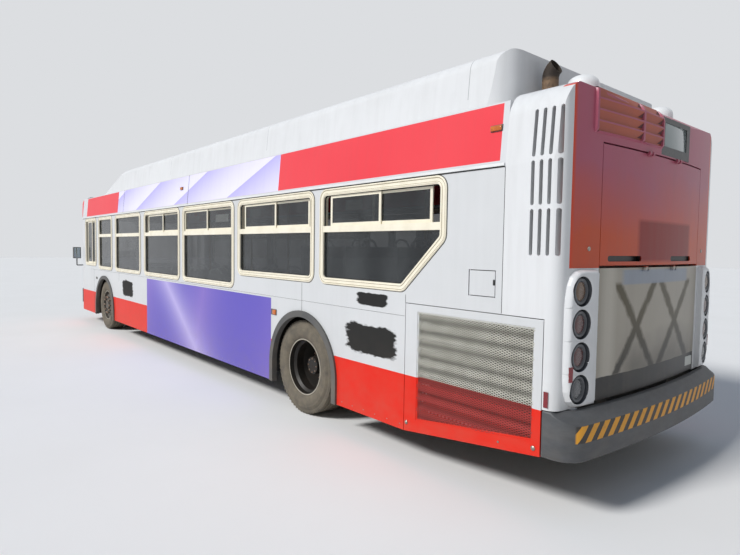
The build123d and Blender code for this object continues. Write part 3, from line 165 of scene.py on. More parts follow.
paint = {
    "silver": "#d3d4d5", "silverShade": "#c6c8c9", "red": "#e0200c", "coveRed": "#e2404a", "rearRed": "#c4502f",
    "rearVeil": "#a9586c", "rearDark": "#861008", "violet": "#6257b4", "violetPale": "#b9aede",
    "spray": "#0e0d0b", "crossSpray": "#443a1c", "bandBlack": "#1d1e20", "capGrey": "#dcddde", "rearGrey": "#9c968a",
    # where the fields of colour lie, metres: heights or lengths from and to
    "coveBand": (2.384, 2.782), "coveRedX": (-5.70, 5.62), "coveFoldsX": (-2.745, 3.255),
    "violetX": (-2.615, 1.58), "violetTop": 1.192, "warningZ": (0.545, 0.655), "warningPitch": 0.122,
    "roofJoints": (-5.362, -2.402, 0.598),
    # middle and half size of each sprayed rectangle on the side, and of each cross at the rear
    "sprayed": [(-4.376, 1.311, 0.205, 0.058), (-4.347, 0.95, 0.33, 0.132), (2.668, 0.95, 0.31, 0.145)],
    "crosses": [(0.345, 0.265), (-0.345, 0.285)], "crossZ": (1.22, 0.31),
}


def sprayed(f, x, z, halfX, halfZ):
    # the mask of one rough rectangle of spray paint with a ragged, misty edge
    ragged = f.noise(20.0, 8.0, (0.5, 1.0, 1.6)) * 0.55 + f.noise(4.0) * 0.45
    reach = ((abs(f.x - x) / halfX) ** 6.0 + (abs(f.z - z) / halfZ) ** 6.0) ** 0.1667
    return ((1.05 - reach + (ragged - 0.5) * 0.95) / 0.12).held() * (f.y > 1.2) * 0.97


def skin(f, colour, rough, flake=0.03, coat=0.03):
    # the shared feel of the painted panels: dulled clear coat, faint waviness
    f.feed(f.shader["Coat Roughness"], 0.25)
    f.feed(f.shader["Specular IOR Level"], 0.18)
    return f.worn(colour, rough, (f.noise(2.2, 2.0) * 0.8 + f.noise(90.0, 2.0) * 0.05, 0.10, 0.02), flake, coat)


def sideFinish():
    f = Finish("side paint")
    # violet panel of soft crossing bands
    glow = (abs(((f.x + f.z * 0.35) * 0.42 + 0.15) % 1.0 - 0.5) * 2.0) ** 2.4
    cross = (abs((f.x * 0.23 - f.z * 0.30 + 0.2) % 1.0 - 0.5) * 2.0) ** 5.0
    panel = f.layered(paint["violet"], ((glow * 0.8).held(), "#8670bd"), ((cross * 0.9).held(), paint["violetPale"]))
    colour = f.layered(
        paint["silver"], (f.noise(1.3), paint["silverShade"]),
        (f.z < bus["redLine"], f.mix(f.noise(2.0), paint["red"], "#d42412")),
        (f.within(f.x, *paint["violetX"]) * (f.z < paint["violetTop"]) * (f.y > 1.2), panel))
    patch, second, third = [sprayed(f, *spot) for spot in paint["sprayed"]]
    patch = patch.most(second).most(third)
    colour = f.layered(streaked(f, colour, 0.05), (patch, paint["spray"]), (abs(f.y) < 1.262, "#6f6e69"))
    return skin(f, *dusty(f, colour, patch * 0.5 + 0.42, most=0.26, high=1.2))


def coveFinish():
    f = Finish("cove paint")
    band = f.within(f.z, *paint["coveBand"])
    fold = ((f.x * 0.55 + f.z * 1.6) % 1.0) ** 1.5
    colour = f.layered(
        paint["silver"], (f.noise(1.3), "#cfd0d4"),
        (band * f.within(f.x, *paint["coveRedX"]), f.mix(f.noise(1.2), paint["coveRed"], "#e64e55")),
        (band * f.within(f.x, *paint["coveFoldsX"]) * (f.y > 1.1),
         f.mix((fold * 0.75).held(), "#e6e3fa", "#a49ce0")))
    return skin(f, streaked(f, colour, 0.06), 0.42)


def rearFinish():
    f = Finish("rear paint")
    behindSkin = f.x - (f.y * f.y * (bus["bow"] / bus["half"] ** 2) + bus["rearX"])
    # faded red over the upper rear: orange low down, mauve high up, one darker patch
    faded = f.layered(
        paint["rearRed"], (((f.z - 1.86 + (f.noise(1.6) - 0.5) * 0.5) / 0.5).held(), paint["rearVeil"]),
        (((f.noise(2.5, 4.0) - 0.45) * 2.0).held() * 0.25, "#a84a3c"),
        (f.within(f.z, 1.70, 2.00, 0.03) * f.within(f.y, -0.62, 0.36, 0.06) * 0.97, paint["rearDark"]),
        # painted highlight: brighter orange red along the red's outer edges, by the corners
        (((abs(f.y) - 1.150) / 0.03).held(), "#d2421f"))
    # engine door: dusty olive grey, sooty and black towards the bottom, two sprayed crosses
    soot = ((1.22 + (f.noise(2.2) - 0.5) * 0.3 - f.z) / 0.30).held() * f.within(f.y, -0.84, 0.50, 0.25)
    panel = f.layered(
        paint["rearGrey"], (f.noise(2.0, 4.0), "#aca497"), (f.within(f.y, 0.66, 0.80, 0.08) * 0.5, "#c9c4b8"),
        (soot * 0.62, "#3b3a36"),
        (((0.905 + (f.noise(4.0, 2.0) - 0.5) * 0.02 - f.z) / 0.004).held(), paint["bandBlack"]))
    z, halfZ = paint["crossZ"]
    for y, halfY in paint["crosses"]:
        u, v = abs(f.y - y) / halfY, abs(f.z - z) / halfZ
        arm = ((0.27 - abs(u - v) + (f.noise(12.0, 5.0) - 0.5) * 0.26) / 0.16).held()
        ends = ((1.1 - v) / 0.1).held() * ((1.25 - u) / 0.1).held()
        spray = f.mix(((f.z - 0.98) * 3.0).held(), "#1d1a12", paint["crossSpray"])
        panel = f.mix(arm * ends * 0.92, panel, spray)
    # painted reflection: a bluish band of sky across the top of the engine door
    paintedSkyReflection = f.within(f.z, 1.535, 1.640, 0.012) * f.within(f.y, -0.60, 0.56, 0.06)
    colour = f.layered(
        paint["capGrey"], (f.noise(1.5), paint["silver"]),
        (((1.192 - abs(f.y)) / 0.004).held() * (f.x < -6.10) * (f.z > bus["beltZ"] - 0.004), faded),
        ((f.x < -6.05) * f.within(f.y, -0.866, 0.866) * (f.z < bus["beltZ"] - 0.002),
         f.mix(paintedSkyReflection * 0.75, panel, "#8a95a6")),
        # painted shade: the handle slots are darkened inside
        (((behindSkin - 0.006) / 0.004).held() * f.within(f.z, 1.68, 1.78) * f.within(f.y, -0.80, 0.80), "#1c1b1b"))
    return skin(f, *dusty(f, streaked(f, colour, 0.12), 0.36, most=0.35, high=1.6), 0.0, 0.12)


def roofFinish():
    f = Finish("roof paint")
    grime = f.blots(5.0, 5.0, 1.5, 0.5) * ((f.z - 2.75) * 3.0).held()
    joint = sum(f.within(f.x, x, x + 0.005, 0.002) for x in paint["roofJoints"]) * (f.z > 2.87)
    colour = f.layered("#dfe0e1", (f.noise(1.1, 4.0), "#d2d3d4"), (grime * 0.14, "#8d8a82"))
    return skin(f, f.mix(joint.held() * 0.7, streaked(f, colour, 0.10), "#6c6e70"), 0.45, 0.0, 0.1)


def frontFinish():
    f = Finish("front paint")
    colour = f.layered(
        paint["silver"], (f.noise(1.5), paint["silverShade"]), (f.z < bus["redLine"], paint["red"]),
        (f.within(f.z, *paint["coveBand"]) * (f.x < 6.16), paint["coveRed"]))
    return skin(f, *dusty(f, streaked(f, colour, 0.15), 0.34, most=0.35))


def plainFinish(name, first, second, rough, scale=6.0, metal=0.0, height=0.15, fine=60.0, dust=None, coat=0.0):
    # two mixed tones, uneven roughness and a fine grain
    f = Finish(name)
    colour = f.mix(f.blots(scale, 5.0, 1.8, 0.4), first, second)
    grain = f.noise(fine, 4.0)
    if dust:
        colour, rough = dusty(f, colour, rough, dust, 0.8, 0.1, 1.4)
    else:
        rough = (rough + (grain - 0.5) * 0.25).held()
    return f.worn(colour, rough, (grain, height, 0.004), metal, coat)


def glassFinish(name, colour, alpha):
    f = Finish(name)
    smear = f.blots(3.0, 5.0, 2.0, 0.8, (1.0, 1.0, 0.5))
    f.feed(f.shader["Alpha"], (smear * 0.12 + alpha).held())
    colour = f.mix(smear * 0.35, colour, "#6a6f70")
    return f.worn(colour, (smear * 0.22 + 0.04).held(), (f.noise(0.8, 1.0), 0.04, 0.02), coat=0.6)


def frameFinish():
    f = Finish("window frame paint")
    grime = f.blots(7.0, 5.0, 2.0, 0.85, (1.0, 1.0, 0.5))
    colour = f.layered("#e9e1c9", (f.noise(2.0), "#f1ebdb"), (grime * 0.30, "#a89a78"))
    return f.worn(colour, (grime * 0.3 + 0.38).held(), (f.noise(40.0), 0.12, 0.003))


def tyreFinish():
    f = Finish("dusty tyre")
    across = f.noise(11.0, 6.0)
    colour = f.mix((across * 1.7 - 0.35).held(), "#4c4740", "#766d5d")
    return f.worn(colour, (across * 0.2 + 0.72).held(), (f.noise(120.0), 0.25, 0.003))


def rimFinish():
    f = Finish("dusty wheel paint")
    rust = f.blots(16.0, 6.0, 2.6, 1.25)
    front = f.x > 0.0
    along = f.x - (front * (bus["frontAxle"] - bus["rearAxle"]) + bus["rearAxle"])
    radius = (along * along + (f.z - bus["axleZ"]) * (f.z - bus["axleZ"])) ** 0.5
    # sooty inside the rear dish, bright where the flange is rubbed
    colour = f.layered("#1b1917", (front, "#5f5b54"), (f.noise(4.0, 4.0) * 0.5, "#3a362f"), (rust * 0.6, "#3a281c"),
                       (((radius - 0.286) / 0.003).held() * 0.85, "#b5ae9f"))
    return f.worn(colour, (rust * 0.25 + 0.5).held(), (f.noise(60.0, 4.0), 0.25, 0.004), 0.25)


def bumperFinish():
    # dark rubber with a slanted yellow and black band on the rear face
    f = Finish("bumper rubber")
    scuff = f.blots(9.0, 6.0, 2.0, 0.8, (1.0, 1.0, 2.5))
    band = (f.x < -6.22) * f.within(f.z, *paint["warningZ"], 0.004) * ((1.225 - abs(f.y)) / 0.01).held()
    warning = f.mix(((f.y + f.z * 0.80) / paint["warningPitch"]) % 1.0 < 0.48, "#e09a14", "#1d1c1b")
    left = band * (1.0 - f.blots(30.0, 5.0, 2.2, 1.2) * 0.5)
    colour = f.mix(left, f.mix(scuff * 0.6, "#3f4246", "#5d5f61"), warning)
    return f.worn(*dusty(f, colour, 0.5, most=0.25), (f.noise(120.0) + scuff * 0.4, 0.2, 0.003))


def louvreFinish():
    f = Finish("dusty louvre")
    red = f.mix(f.noise(12.0, 5.0), "#5c1815", "#74251f")
    colour = f.mix(f.z < bus["redLine"] + 0.01, f.mix(f.blots(14.0, 6.0, 1.8, 0.4), "#45443d", "#65635a"), red)
    return f.worn(colour, 0.55, (f.noise(50.0, 5.0), 0.3, 0.004), 0.15)


def meshFinish():
    # painted shade: the pleats' valleys are darkened
    f = Finish("expanded mesh")
    valleyShade = ((bus["half"] - 0.0055 - f.y) / 0.006).held()
    bare = f.mix(f.blots(10.0, 6.0, 1.8, 0.4), "#a9a79b", "#c9c7bc")
    red = f.mix(f.noise(9.0, 5.0), "#9a2a26", "#b2403a")
    colour = f.mix(f.z < bus["redLine"] + 0.01, f.mix(valleyShade * 0.75, bare, "#4f4d45"),
                   f.mix(valleyShade * 0.6, red, "#4c1613"))
    return f.worn(colour, 0.55, (f.noise(150.0, 2.0), 0.2, 0.001), 0.1)


def rustFinish():
    f = Finish("rusty exhaust")
    burnt = f.blots(12.0, 6.0, 2.0, 0.5)
    colour = f.layered("#5f4a3a", (burnt, "#8a7258"), (((f.noise(30.0, 5.0) - 0.5) * 3.0).held(), "#33291f"),
                       (((f.z - 2.985) / 0.03).held() * 0.85, "#1c1a19"))
    return f.worn(colour, (burnt * 0.2 + 0.6).held(), (f.noise(70.0, 6.0), 0.5, 0.004), 0.3)


def lensFinish(name, colour, dark):
    f = Finish(name)
    ribs = abs((f.y * 120.0) % 1.0 - 0.5) + abs((f.z * 120.0) % 1.0 - 0.5)
    rough = (f.noise(20.0) * 0.2 + 0.1).held()
    return f.worn(f.mix(f.noise(30.0), colour, dark), rough, (ribs, 0.35, 0.003), coat=0.5)


def seatFinish():
    f = Finish("moulded seat")
    colour = f.mix(f.blots(140.0, 2.0, 3.0, 1.4), "#20242f", "#3a4054")
    return f.worn(colour, (f.noise(30.0) * 0.2 + 0.45).held(), (f.noise(160.0, 2.0), 0.2, 0.002))


finishes = {
    "side": sideFinish(), "cove": coveFinish(), "rear": rearFinish(), "roof": roofFinish(), "front": frontFinish(),
    "glass": glassFinish("tinted glass", "#10161a", 0.62), "clearGlass": glassFinish("clear glass", "#2a3338", 0.45),
    "frame": frameFinish(), "tyre": tyreFinish(), "rim": rimFinish(), "bumper": bumperFinish(),
    "louvre": louvreFinish(), "mesh": meshFinish(), "rust": rustFinish(), "seat": seatFinish(),
    "redLens": lensFinish("red lens", "#5c1c18", "#3a1412"),
    "amberLens": lensFinish("amber lens", "#6d4a22", "#4a3018"),
    "clearLens": lensFinish("smoked lens", "#4c4e52", "#38393c"),
    "headLens": lensFinish("headlamp lens", "#c8ccce", "#9ba1a4"),
    "markerLens": lensFinish("marker lens", "#d8761c", "#a04a12"),
    "rubber": plainFinish("arch rubber", "#46484a", "#5c5b58", 0.62, 5.0, dust="#7d7161"),
    "black": plainFinish("black paint", "#1b1c1d", "#2a2a29", 0.42, 5.0, coat=0.2),
    "steel": plainFinish("chassis black", "#1d1c1a", "#35302a", 0.62, 7.0, 0.2, dust="#6d6150"),
    "castMetal": plainFinish("cast engine", "#3b3b3a", "#54504a", 0.6, 9.0, 0.4, 0.4),
    "floorCover": plainFinish("floor vinyl", "#3a3b3d", "#4a4b4c", 0.5, 12.0),
    "dash": plainFinish("moulded dash", "#27282a", "#323334", 0.55, 20.0),
    "lining": plainFinish("lining panel", "#b9b8b0", "#a7a69d", 0.5, 3.0),
    "pole": plainFinish("pole enamel", "#c9a11e", "#b58d18", 0.3, 8.0, coat=0.5),
    "white": plainFinish("white moulding", "#e8e9e9", "#d5d6d6", 0.35, 5.0, coat=0.3),
    "slope": plainFinish("vent slope", "#b0522f", "#9a4a3c", 0.5, 3.0, dust="#8d6a4f"),
    # the dark vent cheek finish is painted shade
    "cheek": plainFinish("vent cheek", "#4c2023", "#5d2a2b", 0.6, 9.0),
    "signPane": plainFinish("sign pane", "#75807f", "#8a9392", 0.12, 2.0, coat=0.6),
    "cup": plainFinish("lamp cup", "#36393e", "#44474c", 0.4, 12.0, coat=0.2),
    "grey": plainFinish("lamp housing grey", "#7b7e82", "#63666a", 0.4, 8.0, coat=0.3),
    "zinc": plainFinish("zinc fastener", "#a8a69f", "#857f74", 0.35, 20.0, 0.85),
    "nut": plainFinish("rusty nut", "#7a5440", "#a89d8e", 0.5, 40.0, 0.55, 0.3),
    "paper": plainFinish("paper notice", "#c9cbc6", "#b9bbb4", 0.7, 9.0),
    "mirror": plainFinish("mirror glass", "#9aa4ab", "#8c969d", 0.06, 2.0, 1.0, 0.0),
    "grime": plainFinish("groove grime", "#7b6c4b", "#978a69", 0.7, 9.0),
    # the black sealant finish also stands for the painted shadow under the drip rails
    "sealAndShade": plainFinish("black sealant", "#151515", "#232220", 0.6, 15.0),
    "reflector": lensFinish("reflector", "#8c1622", "#5e0f18"),
}
print("finishes made:", len(finishes))

# The CAD nodes that wear each finish; the rest are black, or clear if they are panes
wornBy = {
    "side": "left_wall right_wall radiator_door hatch", "cove": "cove_panels", "roof": "roof roof_fairing",
    "rear": "rear_cap rear_corners engine_door upper_door", "front": "front_mask", "glass": "window_glass",
    "clearGlass": "windscreen", "frame": "window_frames window_sashes", "grey": "tail_lamps", "headLens": "headlamps",
    "bumper": "front_bumper rear_bumper", "rubber": "arch_rubbers", "mesh": "radiator_mesh",
    "louvre": "radiator_louvres", "castMetal": "radiator engine", "lining": "bulkhead", "floorCover": "floor",
    "steel": "underframe front_axle rear_axle knuckle_left knuckle_right wheelhouses tow_eyes", "dash": "dashboard",
    "seat": "seat_cushions seat_backs", "pole": "stanchions", "white": "roof_domes", "rust": "exhaust_stack",
    "tyre": "tyre_front_left tyre_front_right tyres_rear_left tyres_rear_right",
    "rim": "rim_front_left rim_front_right rims_rear_left rims_rear_right",
}
nodeFinish = {name: key for key, names in wornBy.items() for name in names.split()}
for name, node in nodes.items():
    key = nodeFinish.get(name, "clearGlass" if name.endswith("_glass") else "black")
    for held in node.material_slots:
        held.material = finishes[key].material
print("CAD nodes finished:", len(nodes))


class Shape:
    # the parts of one piece, gathered in a single mesh
    def __init__(self):
        self.mesh = bmesh.new()

    def box(self, low, high, soft=0.0):
        made = bmesh.ops.create_cube(self.mesh, size=1.0)["verts"]
        size, middle = Vector(high) - Vector(low), (Vector(low) + Vector(high)) / 2
        for v in made:
            v.co = v.co * size + middle
        if soft:
            edges = list({e for v in made for e in v.link_edges})
            bmesh.ops.bevel(self.mesh, geom=edges, offset=soft, segments=2, profile=0.5, affect="EDGES")
        return self

    def skinned(self, rings, closedRound=True, closedAlong=False, caps=False):
        # faces between rings of points
        grid = [[self.mesh.verts.new(p) for p in ring] for ring in rings]
        rows = len(grid)
        for i in range(rows if closedAlong else rows - 1):
            a, b = grid[i], grid[(i + 1) % rows]
            for k in range(len(a) if closedRound else len(a) - 1):
                m = (k + 1) % len(a)
                self.mesh.faces.new((a[k], a[m], b[m], b[k]))
        if caps:
            self.mesh.faces.new(list(reversed(grid[0])))
            self.mesh.faces.new(grid[-1])
        return self

    def lathe(self, profile, centre, axis, count):
        # profile of (along, radius) points turned about an axis through centre
        rings, order = [], {"x": (0, 1, 2), "y": (1, 0, 2), "z": (1, 2, 0)}[axis]
        for t in [tau * i / count for i in range(count)]:
            points = [(a, r * cos(t), r * sin(t)) for a, r in profile]
            rings.append([Vector(centre) + Vector([p[i] for i in order]) for p in points])
        return self.skinned(rings, False, True)

    def tube(self, path, radius, count):
        # a round bar along an open path
        path = [Vector(p) for p in path]
        rings, side = [], None
        for i, p in enumerate(path):
            along = (path[min(i + 1, len(path) - 1)] - path[max(i - 1, 0)]).normalized()
            side = side or along.orthogonal().normalized()
            side = (side - along * side.dot(along)).normalized()
            turns = [tau * k / count for k in range(count)]
            rings.append([p + side * radius * cos(t) + along.cross(side) * radius * sin(t) for t in turns])
        return self.skinned(rings, caps=True)

    def sweep(self, path, profile, out, closed=True):
        # profile of (outward, sideways) points carried round a flat path; out is the outward normal
        path, out = [Vector(p) for p in path], Vector(out)
        rings, last = [], len(path) - 1
        for i, p in enumerate(path):
            before = (p - path[i - 1]).normalized() if i or closed else (path[1] - p).normalized()
            after = (path[(i + 1) % len(path)] - p).normalized() if i < last or closed else before
            sideB, sideA = before.cross(out).normalized(), after.cross(out).normalized()
            side = (sideA + sideB).normalized()
            side = side / max(side.dot(sideA), 0.4)
            rings.append([p + out * a + side * b for a, b in profile])
        return self.skinned(rings, True, closed, not closed)

    def slab(self, outline, depth, out):
        # a flat plate of a given outline, raised by depth along out
        face = self.mesh.faces.new([self.mesh.verts.new(p) for p in outline])
        for v in bmesh.ops.extrude_face_region(self.mesh, geom=[face])["geom"]:
            if isinstance(v, bmesh.types.BMVert):
                v.co += Vector(out) * depth
        return self

    def data(self, name):
        bmesh.ops.recalc_face_normals(self.mesh, faces=self.mesh.faces[:])
        mesh = bpy.data.meshes.new(name)
        self.mesh.to_mesh(mesh)
        self.mesh.free()
        return mesh


def link(item):
    bpy.context.scene.collection.objects.link(item)
    return item


def settle(mesh, name, finish, body, smooth=32, replaced=()):
    # one finished piece: material, smooth faces with sharp creases, and body
    mesh.materials.clear()
    mesh.materials.append(finishes[finish].material)
    mesh.polygons.foreach_set("material_index", [0] * len(mesh.polygons))
    mesh.polygons.foreach_set("use_smooth", [True] * len(mesh.polygons))
    mesh.set_sharp_from_angle(angle=radians(smooth))
    piece = link(bpy.data.objects.new(name, mesh))
    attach(piece, body)
    if replaced:
        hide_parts(*replaced)


def place(shape, name, finish, body="bus_body", slot="body_paint", smooth=32, replaced=()):
    settle(shape.data(name), name, finish, body, smooth, replaced)


class Growth(Graph):
    # one Geometry Nodes tree with named inputs
    def __init__(self, name, wanted):
        super().__init__(bpy.data.node_groups.new(name, "GeometryNodeTree"))
        face = self.tree.interface
        face.new_socket("Geometry", in_out="OUTPUT", socket_type="NodeSocketGeometry")
        common = {"Geometry": ("Geometry", None), "Unit": ("Object", None), "Material": ("Material", None)}
        for label, (kind, value) in {**common, **wanted}.items():
            socket = face.new_socket(label, in_out="INPUT", socket_type="NodeSocket" + kind)
            if value is not None:
                socket.default_value = value
        self.given = {socket.name: Wire(self, socket) for socket in self.tree.nodes.new("NodeGroupInput").outputs}

    def ended(self, points, **turned):
        # the unit on every point, realized and given its material
        unit = self.add("GeometryNodeObjectInfo", {}, {"Object": self.given["Unit"]}, "Geometry")
        spread = self.add("GeometryNodeInstanceOnPoints", {}, {"Points": points, "Instance": unit, **turned})
        solid = self.add("GeometryNodeRealizeInstances", {}, {0: spread})
        painted = self.add("GeometryNodeSetMaterial", {}, {"Geometry": solid, "Material": self.given["Material"]})
        self.feed(self.tree.nodes.new("NodeGroupOutput").inputs[0], painted)
        return self.tree


def gridTree():
    g = Growth("grid of units", {"Columns": ("Int", 4), "Rows": ("Int", 4), "Column Pitch": ("Float", 0.1),
                                 "Row Pitch": ("Float", 0.1)})
    columns, rows = g.given["Columns"], g.given["Rows"]
    return g.ended(g.add("GeometryNodeMeshGrid", {}, {
        "Size X": (columns - 1.0) * g.given["Column Pitch"], "Size Y": (rows - 1.0) * g.given["Row Pitch"],
        "Vertices X": columns, "Vertices Y": rows}))


def ringTree():
    g = Growth("ring of units", {"Count": ("Int", 10), "Radius": ("Float", 0.1)})
    count = g.given["Count"]
    points = g.add("GeometryNodeMeshCircle", {}, {"Vertices": count, "Radius": g.given["Radius"]})
    angle = g.add("GeometryNodeInputIndex") * count.maths("DIVIDE", tau, True)
    return g.ended(points, Rotation=g.add("ShaderNodeCombineXYZ", {}, {"Z": angle}))


def pathTree():
    g = Growth("units along a path", {"Spacing": ("Float", 0.1)})
    curve = g.add("GeometryNodeMeshToCurve", {}, {0: g.given["Geometry"]})
    return g.ended(g.add("GeometryNodeResampleCurve", {"mode": "LENGTH"},
                         {"Curve": curve, "Length": g.given["Spacing"]}))


trees = {"grid": gridTree(), "ring": ringTree(), "path": pathTree()}


def grown(kind, unit, finish, values, matrices, source=None):
    # the tree's result as one plain mesh, copied to each place
    holder = link(bpy.data.objects.new("holder", source or bpy.data.meshes.new("holder")))
    unitObject = link(bpy.data.objects.new("unit", unit.data("unit")))
    modifier = holder.modifiers.new("growth", "NODES")
    modifier.node_group = trees[kind]
    values = {**values, "Unit": unitObject, "Material": finishes[finish].material}
    for item in trees[kind].interface.items_tree:
        if item.item_type == "SOCKET" and item.in_out == "INPUT" and item.name in values:
            modifier[item.identifier] = values[item.name]
    depsgraph = bpy.context.evaluated_depsgraph_get()
    made = bpy.data.meshes.new_from_object(holder.evaluated_get(depsgraph), depsgraph=depsgraph)
    holder.modifiers.clear()
    bpy.data.objects.remove(holder)
    bpy.data.objects.remove(unitObject)
    joined = bmesh.new()
    for matrix in matrices:
        copy = made.copy()
        copy.transform(matrix)
        joined.from_mesh(copy)
        bpy.data.meshes.remove(copy)
    result = bpy.data.meshes.new("grown")
    joined.to_mesh(result)
    joined.free()
    return result


def facing(at, normal, up=(0, 0, 1)):
    # a place whose own Z points along normal and whose Y is up
    normal, up = Vector(normal).normalized(), Vector(up)
    across = up.cross(normal).normalized()
    upright = normal.cross(across)
    return Matrix.Translation(Vector(at)) @ Matrix((across, upright, normal)).transposed().to_4x4()


def roundedPath(points, radius, steps=6):
    # closed 2D outline with its corners rounded
    out, count = [], len(points)
    for i in range(count):
        p, a, b = Vector(points[i]), Vector(points[i - 1]), Vector(points[(i + 1) % count])
        u, v = (a - p).normalized(), (b - p).normalized()
        angle = u.angle(v)
        cut = radius / (abs(sin(angle / 2)) / max(cos(angle / 2), 1e-6))
        start, end = p + u * cut, p + v * cut
        middle = p + (u + v).normalized() * (radius / sin(angle / 2))
        first, last = start - middle, end - middle
        turn = first.angle_signed(last)
        for k in range(steps + 1):
            t = -turn * k / steps
            out.append(middle + Vector((first.x * cos(t) - first.y * sin(t), first.x * sin(t) + first.y * cos(t))))
    return out


def rearX(y):
    return bus["rearX"] + bus["bow"] * (y / bus["half"]) ** 2


# Windows as in the solids: start behind the first one, span, sill and kind, metres
windowTable = {
    "first": 4.621, "top": 2.335, "corner": 0.105, "slantX": 0.461, "slantZ": 0.432,
    "left": [(-1.104, 0.915, 1.290, "sash"), (0.0, 1.0, 1.240, "fixed"), (1.216, 1.522, 1.240, "fixed"),
             (2.921, 1.613, 1.240, "slider"), (4.647, 1.674, 1.240, "slider"), (6.420, 1.666, 1.410, "slider"),
             (8.181, 1.669, 1.410, "slant")],
    "right": [(0.0, 1.0, 1.240, "fixed"), (1.216, 1.522, 1.240, "fixed"), (2.921, 1.613, 1.240, "slider"),
              (4.647, 1.050, 1.240, "fixed"), (7.186, 0.900, 1.410, "fixed"), (8.181, 1.669, 1.410, "slant")],
}


def windowPath(window, inset):
    start, span, sill, kind = window
    front, top = windowTable["first"] - start, windowTable["top"]
    rear = front - span
    corners = [(front, sill), (front, top), (rear, top), (rear, sill)]
    shift = [(-1, 1), (-1, -1), (1, -1), (1, 1)]
    if kind == "slant":
        corners[3:] = [(rear, sill + windowTable["slantZ"]), (rear + windowTable["slantX"], sill)]
        shift[3:] = [(1, 0.42), (0.45, 1)]
    moved = [(x + u * inset, z + v * inset) for (x, z), (u, v) in zip(corners, shift)]
    return roundedPath(moved, windowTable["corner"] - inset)


# What runs round each window: finish, slot, profile, and how far in and proud each run lies, metres
windowRuns = {
    "window_beads": ("frame", "window_frame", [(0.0, -0.006), (0.004, -0.004), (0.0055, 0.0), (0.004, 0.004),
                                               (0.0, 0.006)], [(0.009, 0.007), (0.052, 0.007)]),
    "window_grooves": ("grime", "window_frame", [(0.0, -0.0020), (0.0010, -0.0016), (0.0010, 0.0016), (0.0, 0.0020)],
                       [(0.0175, 0.0068), (0.0455, 0.0068)]),
    "window_sealant": ("sealAndShade", "bumper", [(0.0, -0.004), (0.004, -0.002), (0.004, 0.003), (0.0, 0.004)],
                       [(-0.002, -0.001)]),
    "glazing_rubbers": ("sealAndShade", "bumper", [(0.0, -0.006), (0.012, -0.004), (0.012, 0.002), (0.0, 0.006)],
                        [(0.067, -0.020)]),
}


def windowTrim():
    for name, (finish, slot, profile, runs) in windowRuns.items():
        shape = Shape()
        for side, windows in ((1, windowTable["left"]), (-1, windowTable["right"])):
            for window in windows:
                if name == "glazing_rubbers" and window[3] == "sash":
                    continue
                for inset, proud in runs:
                    path = [(x, side * (bus["half"] + proud), z) for x, z in windowPath(window, inset)]
                    shape.sweep(path, profile, (0, side, 0))
        place(shape, name, finish, slot=slot)


windowTrim()
print("window trim made")

# Wheels: tyre section, tread lugs, nuts and hub bolts, metres
wheel = {
    "tyreR": 0.499, "tyreW": 0.305, "rimR": 0.292, "outY": 1.262, "dualGap": 0.040, "round": 96,
    "lugs": 64, "lugHalf": (0.011, 0.0085, 0.012), "lugSoft": 0.002, "lugIn": 0.0345, "lugDown": 0.0152,
    "nuts": 10, "nutCircle": 0.1675, "nut": (0.021, 0.022), "bolts": 8, "bolt": (0.009, 0.008),
    "frontNuts": 0.122, "frontBolts": 0.129, "frontBoltR": 0.076,
    "rearNuts": 0.035, "rearBolts": 0.189, "rearBoltR": 0.074,
}


def tyreSection(y):
    # one closed section, from the outer bead over the tread and back
    w, r, rim = wheel["tyreW"] / 2, wheel["tyreR"] - 0.004, wheel["rimR"]
    half = [(w - a, rim + b) for a, b in (
        (0.040, 0.001), (0.030, 0.012), (0.014, 0.030), (0.004, 0.060), (0.001, 0.085), (0.001, 0.110),
        (0.004, 0.118), (0.003, 0.121), (0.003, 0.133), (0.005, 0.136), (0.013, 0.160), (0.016, 0.163),
        (0.016, 0.176), (0.020, 0.186))] + [(w - 0.032, r)]
    for groove in (0.078, 0.028):
        half += [(groove + a, b) for a, b in ((0.006, r), (0.004, r - 0.013), (-0.004, r - 0.013), (-0.006, r))]
    return [(y + a, b) for a, b in half] + [(y - a, b) for a, b in reversed(half)]


def wheelSet(name, x, ys, body, replaced):
    tyre = Shape()
    for y in ys:
        turns = [tau * i / wheel["round"] for i in range(wheel["round"])]
        tyre.skinned([[Vector((x + b * cos(t), a, bus["axleZ"] + b * sin(t))) for a, b in tyreSection(y)]
                      for t in turns], True, True)
    place(tyre, name, "tyre", body, "tyre", 40, replaced)
    lug = Shape().box([-v for v in wheel["lugHalf"]], wheel["lugHalf"], wheel["lugSoft"])
    rows = [facing((x, y + s * (wheel["tyreW"] / 2 - wheel["lugIn"]), bus["axleZ"]), (0, 1, 0))
            for y in ys for s in (1, -1)]
    lugs = grown("ring", lug, "tyre", {"Count": wheel["lugs"], "Radius": wheel["tyreR"] - wheel["lugDown"]}, rows)
    settle(lugs, name + "_shoulder_lugs", "tyre", body)


def hexNut(size, height):
    # a chamfered hexagon nut with its stud end, standing along Z
    nut = Shape()
    rings = [[Vector((r * cos(tau * k / 6), r * sin(tau * k / 6), z)) for k in range(6)]
             for r, z in ((size, 0.0), (size, height * 0.8), (size * 0.82, height))]
    nut.skinned(rings, caps=True)
    return nut.lathe([(height * 0.9, 0.0005), (height * 1.45, 0.0005), (height * 1.5, size * 0.35),
                      (height * 0.9, size * 0.5)], (0, 0, 0), "z", 10)


